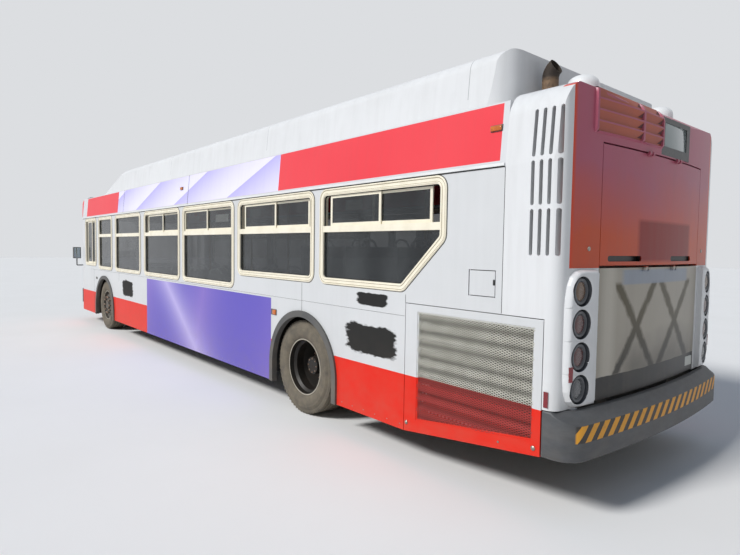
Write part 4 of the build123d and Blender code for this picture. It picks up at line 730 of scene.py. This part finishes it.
frontY = wheel["outY"] - wheel["tyreW"] / 2
rearYs = (frontY, wheel["outY"] - 1.5 * wheel["tyreW"] - wheel["dualGap"])
dualY = wheel["outY"] - wheel["tyreW"] - wheel["dualGap"] / 2
for side, word in ((1, "left"), (-1, "right")):
    wheelSet("tread_tyre_front_" + word, bus["frontAxle"], [side * frontY], "wheel_front_" + word,
             ["tyre_front_" + word])
    wheelSet("tread_tyres_rear_" + word, bus["rearAxle"], [side * y for y in rearYs], "wheels_rear_" + word,
             ["tyres_rear_" + word])
    for axle, x, y, body in (("front", bus["frontAxle"], frontY, "wheel_front_"),
                             ("rear", bus["rearAxle"], dualY, "wheels_rear_")):
        for piece, unit, count, radius, out in (
                ("wheel_nuts_", wheel["nut"], wheel["nuts"], wheel["nutCircle"], wheel[axle + "Nuts"]),
                ("hub_bolts_", wheel["bolt"], wheel["bolts"], wheel[axle + "BoltR"], wheel[axle + "Bolts"])):
            made = grown("ring", hexNut(*unit), "nut", {"Count": count, "Radius": radius},
                         [facing((x, side * (y + out), bus["axleZ"]), (0, side, 0))])
            settle(made, piece + axle + "_" + word, "nut", body + word)
print("wheels dressed")

# Expanded mesh over the radiator louvres, and the door's edges that cut it, metres
meshSize = {
    "front": -4.948, "rear": -6.008, "top": 1.250, "low": 0.36, "seam": -4.795, "skirt": 0.255, "rise": 0.162,
    "doorLength": 1.290, "lowBar": 0.112, "pitchX": 0.038, "pitchZ": 0.0175, "strand": 0.0052, "depth": 0.0024,
    "bite": 0.011, "sunk": 0.0035, "pleat": 0.0985, "pleatDepth": 0.0085,
}


def radiatorMesh():
    m = meshSize
    a, b, w = m["pitchX"] / 2, m["pitchZ"] / 2, m["strand"] / 2
    unit, lift = Shape(), Vector((0, 0, m["depth"] / 2))
    for u, v in ((1, 1), (-1, 1), (-1, -1), (1, -1)):
        # four slanted strands make one diamond
        start, end = Vector((u * a, 0, 0)), Vector((0, v * b, 0))
        along = (end - start).normalized()
        side = Vector((-along.y, along.x, 0)) * w
        unit.skinned([[start - side - lift, start + side - lift * 0.2, start + side + lift, start - side + lift * 0.2],
                      [end - side - lift * 0.2, end + side - lift, end + side + lift * 0.2, end - side + lift]])
    middle = ((m["front"] + m["rear"]) / 2, bus["half"] - m["sunk"], (m["top"] + m["low"]) / 2)
    made = grown("grid", unit, "mesh", {"Columns": int((m["front"] - m["rear"]) / m["pitchX"]) + 4,
                                        "Rows": int((m["top"] - m["low"]) / m["pitchZ"]) + 4,
                                        "Column Pitch": m["pitchX"], "Row Pitch": m["pitchZ"]},
                 [facing(middle, (0, 1, 0))])
    cut = bmesh.new()
    cut.from_mesh(made)
    slope = Vector((m["rise"] / m["doorLength"], 0, 1)).normalized()
    low = m["skirt"] + m["rise"] * (m["seam"] - m["front"]) / m["doorLength"] + m["lowBar"] - m["bite"]
    for spot, normal in (((m["front"] + m["bite"], 0, 0), (1, 0, 0)), ((m["rear"] - m["bite"], 0, 0), (-1, 0, 0)),
                         ((0, 0, m["top"] + m["bite"]), (0, 0, 1)), ((m["front"], 0, low), -slope)):
        everything = cut.verts[:] + cut.edges[:] + cut.faces[:]
        bmesh.ops.bisect_plane(cut, geom=everything, plane_co=spot, plane_no=normal, clear_outer=True)
    # pleated lengthwise, so that its front edge zigzags
    for v in cut.verts:
        turn = ((m["top"] - v.co.z) / m["pleat"]) % 1.0
        v.co.y -= m["pleatDepth"] * (1.0 - abs(turn * 2.0 - 1.0))
    cut.to_mesh(made)
    cut.free()
    settle(made, "expanded_mesh", "mesh", "radiator_lid", 20, ["radiator_mesh"])


radiatorMesh()
print("radiator mesh made")

# Rails, seams and rivets along the sides, metres; on the right they stop short of the doorways
sideTrim = {
    "rear": -5.745, "front": 5.97, "dripDepth": 0.012, "dripHeight": 0.018, "coveSeams": (-0.195, 2.9),
    "uprights": [(bus["capX"], 1.330, 2.34), (-3.243, 1.050, 1.395), (bus["radiatorX"], 1.32, 1.39),
                 (3.19, 1.05, 1.23)],
    "frontUpright": (5.03, 0.26, 1.22), "beltSeamZ": 1.212,
    "beltSeams": {1: [(5.3, -4.79)], -1: [(4.965, -1.19), (-2.47, -4.79)]},
    "rivet": 0.0045, "rivetGap": 0.16, "rivetZ": 0.300,
    "rivets": {1: [(3.45, -2.5), (-3.95, -4.75), (5.9, 5.0)], -1: [(3.45, -1.15), (-3.95, -4.75)]},
}


def sideDetails():
    rails, seamsAndShade, rivets = Shape(), Shape(), bmesh.new()
    half, d, h, drip = bus["half"], sideTrim["dripDepth"], sideTrim["dripHeight"], bus["dripZ"]
    rear, front, r = sideTrim["rear"], sideTrim["front"], sideTrim["rivet"]
    profile = [(0.0, -h), (d, -h * 0.9), (d, h * 0.2), (d * 0.55, h * 0.2), (d * 0.5, -h * 0.4), (0.0, -h * 0.4)]
    for side in (1, -1):
        face = side * half
        rails.sweep([(rear, face, drip + h), (front, face, drip + h)], profile, (0, side, 0), False)
        # painted shadow: a black strip along the underside of each drip rail
        seamsAndShade.box((rear, face - 0.0005, drip - 0.008), (front, face + 0.0035, drip + 0.0005))
        for x in sideTrim["coveSeams"]:
            y0, y1 = side * (half + 0.0006), side * (bus["coveY"] + 0.0006)
            low, high = drip + 0.02, bus["coveZ"] - 0.002
            seamsAndShade.slab([(x - 0.003, y0, low), (x + 0.003, y0, low), (x + 0.003, y1, high), (x - 0.003, y1, high)],
                       0.0008, (0, side, 0))
        for x, low, high in sideTrim["uprights"] + [sideTrim["frontUpright"]] * (side > 0):
            seamsAndShade.box((x - 0.002, face - 0.0005, low), (x + 0.002, face + 0.0008, high))
        for ahead, behind in sideTrim["beltSeams"][side]:
            z = sideTrim["beltSeamZ"]
            seamsAndShade.box((behind, face - 0.0005, z - 0.0012), (ahead, face + 0.0006, z + 0.0012))
        for ends in sideTrim["rivets"][side]:
            dome = [(-0.001, r), (r * 0.25, r), (r * 0.55, r * 0.7), (r * 0.7, 0.0004)]
            dome = Shape().lathe(dome, (0, 0, 0), "z", 10)
            bmesh.ops.rotate(dome.mesh, verts=dome.mesh.verts[:], matrix=Matrix.Rotation(-side * pi / 2, 3, "X"))
            line = bpy.data.meshes.new("line")
            line.from_pydata([(x, side * (half + 0.0002), sideTrim["rivetZ"]) for x in ends], [(0, 1)], [])
            rivets.from_mesh(grown("path", dome, "zinc", {"Spacing": sideTrim["rivetGap"]}, [Matrix()], line))
    place(rails, "drip_rails", "white")
    place(seamsAndShade, "panel_seams", "sealAndShade", slot="bumper")
    mesh = bpy.data.meshes.new("rivets")
    rivets.to_mesh(mesh)
    rivets.free()
    settle(mesh, "skirt_rivets", "zinc", "bus_body")


sideDetails()
print("side trim made")

# The rear: round lamps, their raised pods, vents beside the sign, sloped bumper, metres
rear = {
    "lampX": -6.217, "lampY": 1.100, "lampZ": 0.866, "lampPitch": 0.214, "cup": 0.101, "podHeight": 0.044,
    "podSoft": 0.020, "cornerR": 0.080, "cornerX": -6.1009, "cornerY": 1.215, "roofEdge": 0.130, "bowClear": 0.002,
    "ventProud": 0.017, "ventLow": 2.562, "ventPitch": 0.073, "ventOpen": 0.060, "bumperX": -6.385,
    "bumperLow": 0.418, "bumperTop": 0.730, "bumperR": 0.170, "bumperSeam": -6.089, "bumperThick": 0.110,
    "bumperSlope": 0.080, "bumperDrop": 0.066,
    # ends of the louvre rows, middle and width of the strips between them
    "ventSpans": [(0.060, 0.372), (0.372, 0.962)], "ventStrips": [(0.060, 0.024), (0.372, 0.034), (0.962, 0.026)],
    "ventCheek": 0.062, "pane": [(-6.2495, -0.452, 2.578), (-6.2455, 0.004, 2.768), 0.0015],
    "locks": [(0.99, 1.785), (-0.99, 1.785)], "sideLocks": [(-4.83, 0.330), (-6.03, 0.462)], "pin": (-5.75, 0.425),
    "plateY": (-0.80, -0.66), "plateZ": (0.795, 0.875), "latchX": (-5.690, -5.672), "latchZ": (1.520, 1.560),
    "reflector": [(1.214, 1.024), (1.212, 0.925), (1.186, 0.925), (1.184, 1.024)],
    "sideReflector": [(-6.097, 0.753), (-6.129, 0.753), (-6.129, 0.856), (-6.097, 0.856)],
}
lampRing = [(0.004, 0.089), (-0.008, 0.088), (-0.012, 0.082), (-0.010, 0.070), (-0.002, 0.062), (0.010, 0.060)]
lampLens = [(0.004, 0.0625), (-0.003, 0.061), (-0.007, 0.052), (-0.009, 0.030), (-0.010, 0.0006)]
podOutline = [(0.925, 0.748), (0.925, 1.646), (1.075, 1.648), (1.138, 1.637), (1.184, 1.604), (1.210, 1.545),
              (1.223, 1.460), (1.227, 1.380), (1.227, 1.210), (1.226, 1.060), (1.223, 0.930), (1.215, 0.855),
              (1.190, 0.790), (1.140, 0.752), (1.060, 0.742)]


def lampDetails():
    # rings and ribbed lenses of the four round lamps a side
    rings, red, amber, clear = Shape(), Shape(), Shape(), Shape()
    for side in (1, -1):
        for i, lens in enumerate((clear, red, red, amber)):
            centre = (rear["lampX"], side * rear["lampY"], rear["lampZ"] + rear["lampPitch"] * i)
            rings.lathe(lampRing, centre, "x", 48)
            lens.lathe(lampLens, centre, "x", 40)
    place(rings, "lamp_rings", "cup", slot="lens")
    place(red, "red_lamp_lenses", "redLens", slot="lens")
    place(amber, "amber_lamp_lenses", "amberLens", slot="lens")
    place(clear, "clear_lamp_lenses", "clearLens", slot="lens")


def skinX(y, z=1.0):
    # the body's rear skin at a height: bowed, rounded at the corners and at the roof
    y, edge = abs(y), rear["roofEdge"]
    if y > rear["cornerY"]:
        x = rear["cornerX"] - sqrt(max(rear["cornerR"] ** 2 - (y - rear["cornerY"]) ** 2, 0.0))
    else:
        x = rearX(y)
    over = z - (bus["roofZ"] - edge)
    if over > 0:
        x = max(x, bus["rearX"] - rear["bowClear"] + edge - sqrt(max(edge ** 2 - over ** 2, 0.0)))
    return x


def lampPods():
    pods, cups, reflectors = Shape(), Shape(), Shape()
    points = [Vector(p) for p in podOutline]
    edges = list(zip(points, points[1:] + points[:1]))
    pitch, cup = rear["lampPitch"], rear["cup"]

    def toEdge(point):
        # distance to the outline, the straight inner edge counted steeper
        gaps = []
        for p, q in edges:
            t = max(0.0, min(1.0, (point - p).dot(q - p) / (q - p).length_squared))
            gaps.append((p + (q - p) * t - point).length)
        return min([gaps[0] * 4.0] + gaps[1:])

    def onPod(point, side):
        d = min(toEdge(point) / rear["podSoft"], 1.0)
        lift = rear["podHeight"] * sqrt(max(1.0 - (1.0 - d) ** 2, 0.0))
        return Vector((skinX(point.x) - lift + 0.002 * (1.0 - d), side * point.x, point.y))

    def reach(centre, heading, low, high):
        # how far the cell goes from the lamp's centre in one direction
        far = 1.0
        if abs(heading.y) > 1e-6:
            far = min(far, ((high if heading.y > 0 else low) - centre.y) / heading.y)
        for p, q in edges:
            across = heading.cross(q - p)
            if abs(across) > 1e-9:
                t, u = (p - centre).cross(q - p) / across, (p - centre).cross(heading) / across
                if t > 0 and -1e-6 <= u <= 1 + 1e-6:
                    far = min(far, t)
        return far

    for side in (1, -1):
        for i in range(4):
            centre = Vector((rear["lampY"], rear["lampZ"] + i * pitch))
            low = centre.y - pitch / 2 - 0.0008 if i else 0.5
            high = centre.y + pitch / 2 + 0.0008 if i < 3 else 2.0
            # even directions, and the exact corners of the cell
            corners = [q for p, q in edges if low < q.y < high]
            corners += [p + (q - p) * (level - p.y) / (q.y - p.y) for level in (low, high) for p, q in edges
                        if (p.y - level) * (q.y - level) < 0]
            turns = {round(tau * k / 64, 5) for k in range(64)}
            turns |= {round(atan2(q.y - centre.y, q.x - centre.x) % tau, 5) for q in corners}
            rings = [[] for _ in range(8)]
            for turn in sorted(turns):
                heading = Vector((cos(turn), sin(turn)))
                width = max(reach(centre, heading, low, high), cup + 0.003) - cup
                rings[0].append(onPod(centre + heading * cup, side)
                                + Vector((0.004, -side * heading.x * 0.003, -heading.y * 0.003)))
                for n, share in enumerate((0.0, 0.3, 0.55, 0.75, 0.88, 0.96, 1.0)):
                    rings[n + 1].append(onPod(centre + heading * (cup + width * share), side))
            pods.skinned(rings)
            spokes = [Vector((cos(tau * k / 64), sin(tau * k / 64))) for k in range(64)]
            cups.skinned([[onPod(centre + v * cup, side) + Vector((depth, -side * v.x * less, -v.y * less))
                           for v in spokes] for depth, less in ((0.0035, 0.0026), (0.016, 0.0055), (0.034, 0.0075))])
        reflectors.slab([onPod(Vector(p), side) + Vector((0.001, 0, 0)) for p in rear["reflector"]], 0.006, (-1, 0, 0))
        reflectors.slab([(x, side * (bus["half"] + 0.0005), z) for x, z in rear["sideReflector"]], 0.004, (0, side, 0))
    place(pods, "lamp_pods", "rear", smooth=50)
    place(cups, "lamp_cups", "cup", slot="lens", smooth=50)
    place(reflectors, "corner_reflectors", "reflector", slot="lens")


def rearVents():
    # rows of pressed-in louvres beside the sign, between raised strips
    panel, slopes, cheekShades = Shape(), Shape(), Shape()
    proud, low, pitch, tall = rear["ventProud"], rear["ventLow"], rear["ventPitch"], rear["ventOpen"]
    top = low + 3 * pitch + tall + 0.010

    def at(y, z, lift):
        return Vector((skinX(y, z) - lift, y, z))

    for near, far in rear["ventSpans"]:
        first, last = near + 0.012, far - 0.012
        stations = [first + (last - first) * i / 10 for i in range(11)]
        ends = ((low - 0.014, low - 0.002, -0.002, proud), (top, top + 0.006, proud, -0.002))
        for z0, z1, lift0, lift1 in ends:
            panel.skinned([[at(y, z0, lift0), at(y, z1, lift1)] for y in stations], False)
        for row in range(4):
            z = low + row * pitch
            nextZ = z + pitch if row < 3 else top
            panel.skinned([[at(y, z + tall, proud), at(y, (z + tall + nextZ - 0.002) / 2, proud + 0.001),
                            at(y, nextZ - 0.002 * (row < 3), proud)] for y in stations], False)
            slopes.skinned([[at(y, z - 0.002, proud), at(y, z + 0.004, 0.0012), at(y, z + 0.016, 0.0012),
                             at(y, z + tall, proud)] for y in stations], False)
            # painted shade: a dark triangle at the near end of each row stands for the shaded cheek of the pressed-in
            # louvre
            y, rise = first + 0.005, proud / (tall - 0.016)
            cheekShades.slab([at(y, z + 0.0165, 0.0016), at(y + rear["ventCheek"], z + 0.0165, 0.0016),
                          at(y, z + 0.052, 0.0016 + 0.036 * rise)], 0.0008, (-1, 0, 0))
    for middle, wide in rear["ventStrips"]:
        rings = []
        for z in [low - 0.014 + (top - low + 0.020) * i / 12 for i in range(13)]:
            lift = 0.0 if z < low - 0.012 or z > top + 0.004 else proud + 0.001
            rings.append([at(middle + dy, z, rise) for dy, rise in (
                (-wide / 2, -0.002), (0.003 - wide / 2, lift), (wide / 2 - 0.003, lift), (wide / 2, -0.002))])
        panel.skinned(rings, caps=True)
    place(panel, "rear_vents", "rear")
    place(slopes, "vent_slopes", "slope")
    place(cheekShades, "vent_cheeks", "cheek")
    # grey pane of the route sign, blank, in its black frame
    place(Shape().box(*rear["pane"]), "sign_pane", "signPane", slot="glass")


def slopedBumper():
    # the block bumper's plan, with its top edge sloped down towards the rear
    r, half, reach, bow = rear["bumperR"], bus["half"], rear["bumperX"], bus["bow"]
    low, top, slope, thick = rear["bumperLow"], rear["bumperTop"], rear["bumperSlope"], rear["bumperThick"]
    radius = (half ** 2 + bow ** 2) / (2 * bow)
    centre = reach + radius
    corner = centre - sqrt((radius - r) ** 2 - (half - r) ** 2)
    lean = atan2(half - r, centre - corner)
    path = [(rear["bumperSeam"], half, 0.0, 1.0)]
    for t in [pi / 2 + (pi / 2 - lean) * k / 10 for k in range(11)]:
        path.append((corner + r * cos(t), half - r + r * sin(t), cos(t), sin(t)))
    for t in [pi - lean + 2 * lean * k / 28 for k in range(1, 29)]:
        path.append((centre + radius * cos(t), radius * sin(t), cos(t), sin(t)))
    path += [(x, -y, u, -v) for x, y, u, v in reversed(path[:11])]
    rings = []
    for x, y, u, v in path:
        drop = rear["bumperDrop"] * max(-u, 0.0) ** 0.7
        points = [(0.010, low), (0.0, low + 0.010), (0.0, top - drop - 0.016), (0.003, top - drop - 0.006),
                  (0.010, top - drop * 1.06), (slope - 0.012, top - 0.004), (slope, top), (thick, top), (thick, low)]
        rings.append([Vector((x - u * n, y - v * n, z)) for n, z in points])
    place(Shape().skinned(rings, caps=True), "sloped_bumper", "bumper", slot="bumper", smooth=40,
          replaced=["rear_bumper"])


def rearFittings():
    locks, plates, dark, half = Shape(), Shape(), Shape(), bus["half"]
    for y, z in rear["locks"]:
        locks.lathe([(0.002, 0.016), (-0.004, 0.015), (-0.006, 0.010), (-0.005, 0.0005)], (rearX(y), y, z), "x", 20)
    for x, z in rear["sideLocks"]:
        locks.lathe([(-0.002, 0.017), (0.005, 0.016), (0.010, 0.010), (0.012, 0.0005)], (x, half, z), "y", 20)
    x, z = rear["pin"]
    locks.lathe([(-0.002, 0.008), (0.003, 0.008), (0.005, 0.0005)], (x, half, z), "y", 16)
    # blank plate low on the engine door
    x, (right, left), (low, top) = rearX(0.74), rear["plateY"], rear["plateZ"]
    plates.box((x - 0.006, right, low), (x + 0.004, left, top), 0.002)
    (behind, ahead), (low, top) = rear["latchX"], rear["latchZ"]
    dark.box((behind, half - 0.002, low), (ahead, half + 0.004, top), 0.002)
    place(locks, "rear_locks", "zinc")
    place(plates, "blank_plate", "paper")
    place(dark, "hatch_latch", "black")


lampDetails()
lampPods()
rearVents()
slopedBumper()
rearFittings()
print("rear details made")


# Small lamps and fittings on the sides and inside, metres
fittings = {
    "coveLamps": [(-5.653, 2.613), (0.053, 2.613)], "coveBase": (0.052, 0.023), "coveLens": (0.046, 0.018),
    # rear, front, lowest and highest edge of the lamps on the sides
    "sideBase": (-2.740, -2.618, 1.004, 1.070), "sideLens": (-2.733, -2.668, 1.010, 1.064),
    "frontBase": (4.760, 4.845, 1.015, 1.062),
    # front, rear, lowest and highest edge of each paper notice
    "notices": [(-2.062, -2.318, 2.118, 2.210), (-3.928, -4.181, 2.117, 2.212), (-0.313, -0.560, 2.108, 2.193),
                (-1.094, -1.473, 2.083, 2.182), (2.842, 2.544, 1.705, 1.847)],
    "noticeIn": (0.0315, 0.0305),
    "mirrorX": 6.163, "mirrorY": 1.380, "mirrorHalf": 0.072, "mirrorLow": 1.433, "mirrorTop": 1.687,
}
# Seat rows as in the solids: front edge of each cushion, floor below it, metres
seatRows = {
    "low": 0.380, "deck": 0.820, "backTop": 0.960, "depth": 0.430, "back": 0.055,
    "rows": [3.150, 2.390, 1.630, 0.870, 0.110, -0.650], "lastLeft": -1.410, "raised": [-2.700, -3.420, -4.140],
    "handleY": (0.47, 0.93), "handleWide": 0.095, "handleTall": 0.085, "handleR": 0.0125,
}
# Parked wipers, metres
wiper = {
    "pivotY": 0.60, "pivotZ": 1.115, "bladeY": 0.57, "bladeZ": 1.300, "bladeHalf": 0.41,
    "armOut": 0.030, "bladeOut": 0.016, "arm": 0.011, "blade": 0.007,
}


def markerLamps():
    # small oblong lamps on dark bases: two on each cove, two on each side
    lenses, bases, half = Shape(), Shape(), bus["half"]
    (u, v), (p, q) = fittings["coveBase"], fittings["coveLens"]
    for side in (1, -1):
        for x, z in fittings["coveLamps"]:
            y = half - (half - bus["coveY"]) * (z - bus["dripZ"]) / (bus["coveZ"] - bus["dripZ"])
            bases.box((x - u, side * y - 0.006, z - v), (x + u, side * y + 0.006, z + v), 0.003)
            y = side * (y + 0.008)
            lenses.box((x - p, y - 0.010, z - q), (x + p, y + 0.010, z + q), 0.006)
        for name, proud, soft in (("sideBase", 0.004, 0.002), ("frontBase", 0.010, 0.006)):
            behind, front, low, high = fittings[name]
            bases.box((behind, side * half - 0.003, low), (front, side * half + proud, high), soft)
        behind, front, low, high = fittings["sideLens"]
        y = side * (half + 0.008)
        lenses.box((behind, y - 0.010, low), (front, y + 0.010, high), 0.006)
    place(bases, "marker_bases", "rubber", slot="lens")
    place(lenses, "marker_lenses", "markerLens", slot="lens")


def notices():
    # plain paper notices behind some panes
    shape, (inner, outer) = Shape(), fittings["noticeIn"]
    for front, behind, low, high in fittings["notices"]:
        shape.box((behind, bus["half"] - inner, low), (front, bus["half"] - outer, high))
    place(shape, "window_notices", "paper", slot="glass")


def grabHandles():
    # pale bent grab handles on the seat backs, two a back
    handles, r = Shape(), seatRows
    rows = [(side, x, "low") for side in (1, -1) for x in r["rows"] + [r["lastLeft"]] * (side > 0)]
    rows += [(side, x, "deck") for side in (1, -1) for x in r["raised"]]
    for side, x, base in rows:
        middle, top = x - r["depth"] - r["back"] / 2 - 0.004, r[base] + r["backTop"] - 0.006
        for y in r["handleY"]:
            handles.tube([(middle + 0.020 * sin(t), side * (y - r["handleWide"] * cos(t)),
                           top + r["handleTall"] * sin(t) ** 0.8) for t in [pi * k / 12 for k in range(13)]],
                         r["handleR"], 8)
    place(handles, "grab_handles", "white", slot="seat", smooth=60)


def mirrorGlass():
    glass, hoods = Shape(), Shape()
    x, wide, low, high = [fittings["mirror" + word] for word in ("X", "Half", "Low", "Top")]
    for side in (1, -1):
        y = side * fittings["mirrorY"]
        glass.box((x - 0.002, y - wide + 0.008, low + 0.009), (x + 0.003, y + wide - 0.008, high - 0.009), 0.0018)
        hoods.sweep([(x, y - wide, low), (x, y - wide, high), (x, y + wide, high), (x, y + wide, low)],
                    [(-0.003, -0.004), (0.010, -0.004), (0.010, 0.003), (-0.003, 0.003)], (-1, 0, 0))
    place(glass, "mirror_glass", "mirror", slot="glass")
    place(hoods, "mirror_rims", "black", slot="black_frame")


def wipers():
    # laid on the mask and the panes by rays, so they follow the bow
    shape, surfaces = Shape(), []
    for node in (bpy.data.objects["windscreen"], bpy.data.objects["front_mask"]):
        surfaces.append(BVHTree.FromPolygons([node.matrix_world @ v.co for v in node.data.vertices],
                                             [tuple(face.vertices) for face in node.data.polygons]))

    def on(point, out):
        hits = [tree.ray_cast(Vector((8.0, *point)), Vector((-1.0, 0.0, 0.0)))[0] for tree in surfaces]
        return max(hit.x for hit in hits if hit) + out, *point

    for side in (1, -1):
        pivot = Vector((side * wiper["pivotY"], wiper["pivotZ"]))
        middle = Vector((side * wiper["bladeY"], wiper["bladeZ"]))
        along = Vector((wiper["bladeHalf"], 0.0))
        shape.tube([on(middle + along * (k / 6 - 1), wiper["bladeOut"]) for k in range(13)], wiper["blade"], 8)
        shape.tube([on(pivot.lerp(middle, k / 6), wiper["armOut"]) for k in range(6)]
                   + [on(middle, wiper["bladeOut"])], wiper["arm"], 8)
        shape.lathe([(0.040, 0.0006), (0.038, 0.018), (-0.002, 0.022), (-0.004, 0.0006)], on(pivot, 0.0), "x", 20)
    place(shape, "wipers", "black", slot="black_frame", smooth=60)


markerLamps()
notices()
grabHandles()
mirrorGlass()
wipers()
print("small fittings made")

camera = link(bpy.data.objects.new("camera", bpy.data.cameras.new("camera")))
yaw, pitch, roll = studio["yaw"], studio["pitch"], studio["roll"]
forward = Vector((cos(yaw) * cos(pitch), sin(yaw) * cos(pitch), -sin(pitch)))
right = Vector((sin(yaw), -cos(yaw), 0.0))
up = right.cross(forward)
turned = Matrix((right * cos(roll) + up * sin(roll), up * cos(roll) - right * sin(roll), -forward)).transposed()
camera.matrix_world = Matrix.Translation(studio["place"]) @ turned.to_4x4()
camera.data.lens = studio["lens"]
camera.data.sensor_width = 36.0
bpy.context.scene.camera = camera

key = link(bpy.data.objects.new("key", bpy.data.lights.new("key", "SUN")))
key.data.energy = studio["key"]
key.data.angle = radians(studio["keySpread"])
key.rotation_euler = Vector(studio["keyAlong"]).to_track_quat("-Z", "Y").to_euler()

# the sky lights the bus; what the camera sees itself, or through or in glass, is the plain backdrop
world = bpy.data.worlds.new("studio")
world.use_nodes = True
bpy.context.scene.world = world
sky = Graph(world.node_tree)
height = sky.add("ShaderNodeSeparateXYZ", {}, {0: sky.add("ShaderNodeTexCoord", out="Generated")}, "Z")
blend = sky.mix(sky.add("ShaderNodeMapRange", {}, {"Value": height}), studio["worldLow"], studio["worldHigh"])
soft = sky.add("ShaderNodeBackground", {}, {"Color": blend, "Strength": studio["fill"]})
plain = sky.add("ShaderNodeBackground", {}, {"Color": studio["backdrop"]})
seen = sky.add("ShaderNodeLightPath", out="Is Camera Ray")
for label in ("Is Glossy Ray", "Is Transmission Ray"):
    seen = seen.most(sky.add("ShaderNodeLightPath", out=label))
both = sky.add("ShaderNodeMixShader", {}, {0: seen, 1: soft, 2: plain})
sky.feed(sky.tree.nodes["World Output"].inputs["Surface"], both)

floorMesh = bpy.data.meshes.new("studio_floor")
size = studio["floorSize"]
floorMesh.from_pydata([(-size, -size, 0), (size, -size, 0), (size, size, 0), (-size, size, 0)], [], [(0, 1, 2, 3)])
f = Finish("studio floor")
f.feed(f.shader["Base Color"], f.mix(f.noise(0.6), studio["floor"], "#f0efed"))
f.feed(f.shader["Roughness"], 0.85)
floorMesh.materials.append(f.material)
studioFloor = link(bpy.data.objects.new("studio_floor", floorMesh))
bpy.context.scene.view_settings.view_transform = "Standard"
print("studio made")
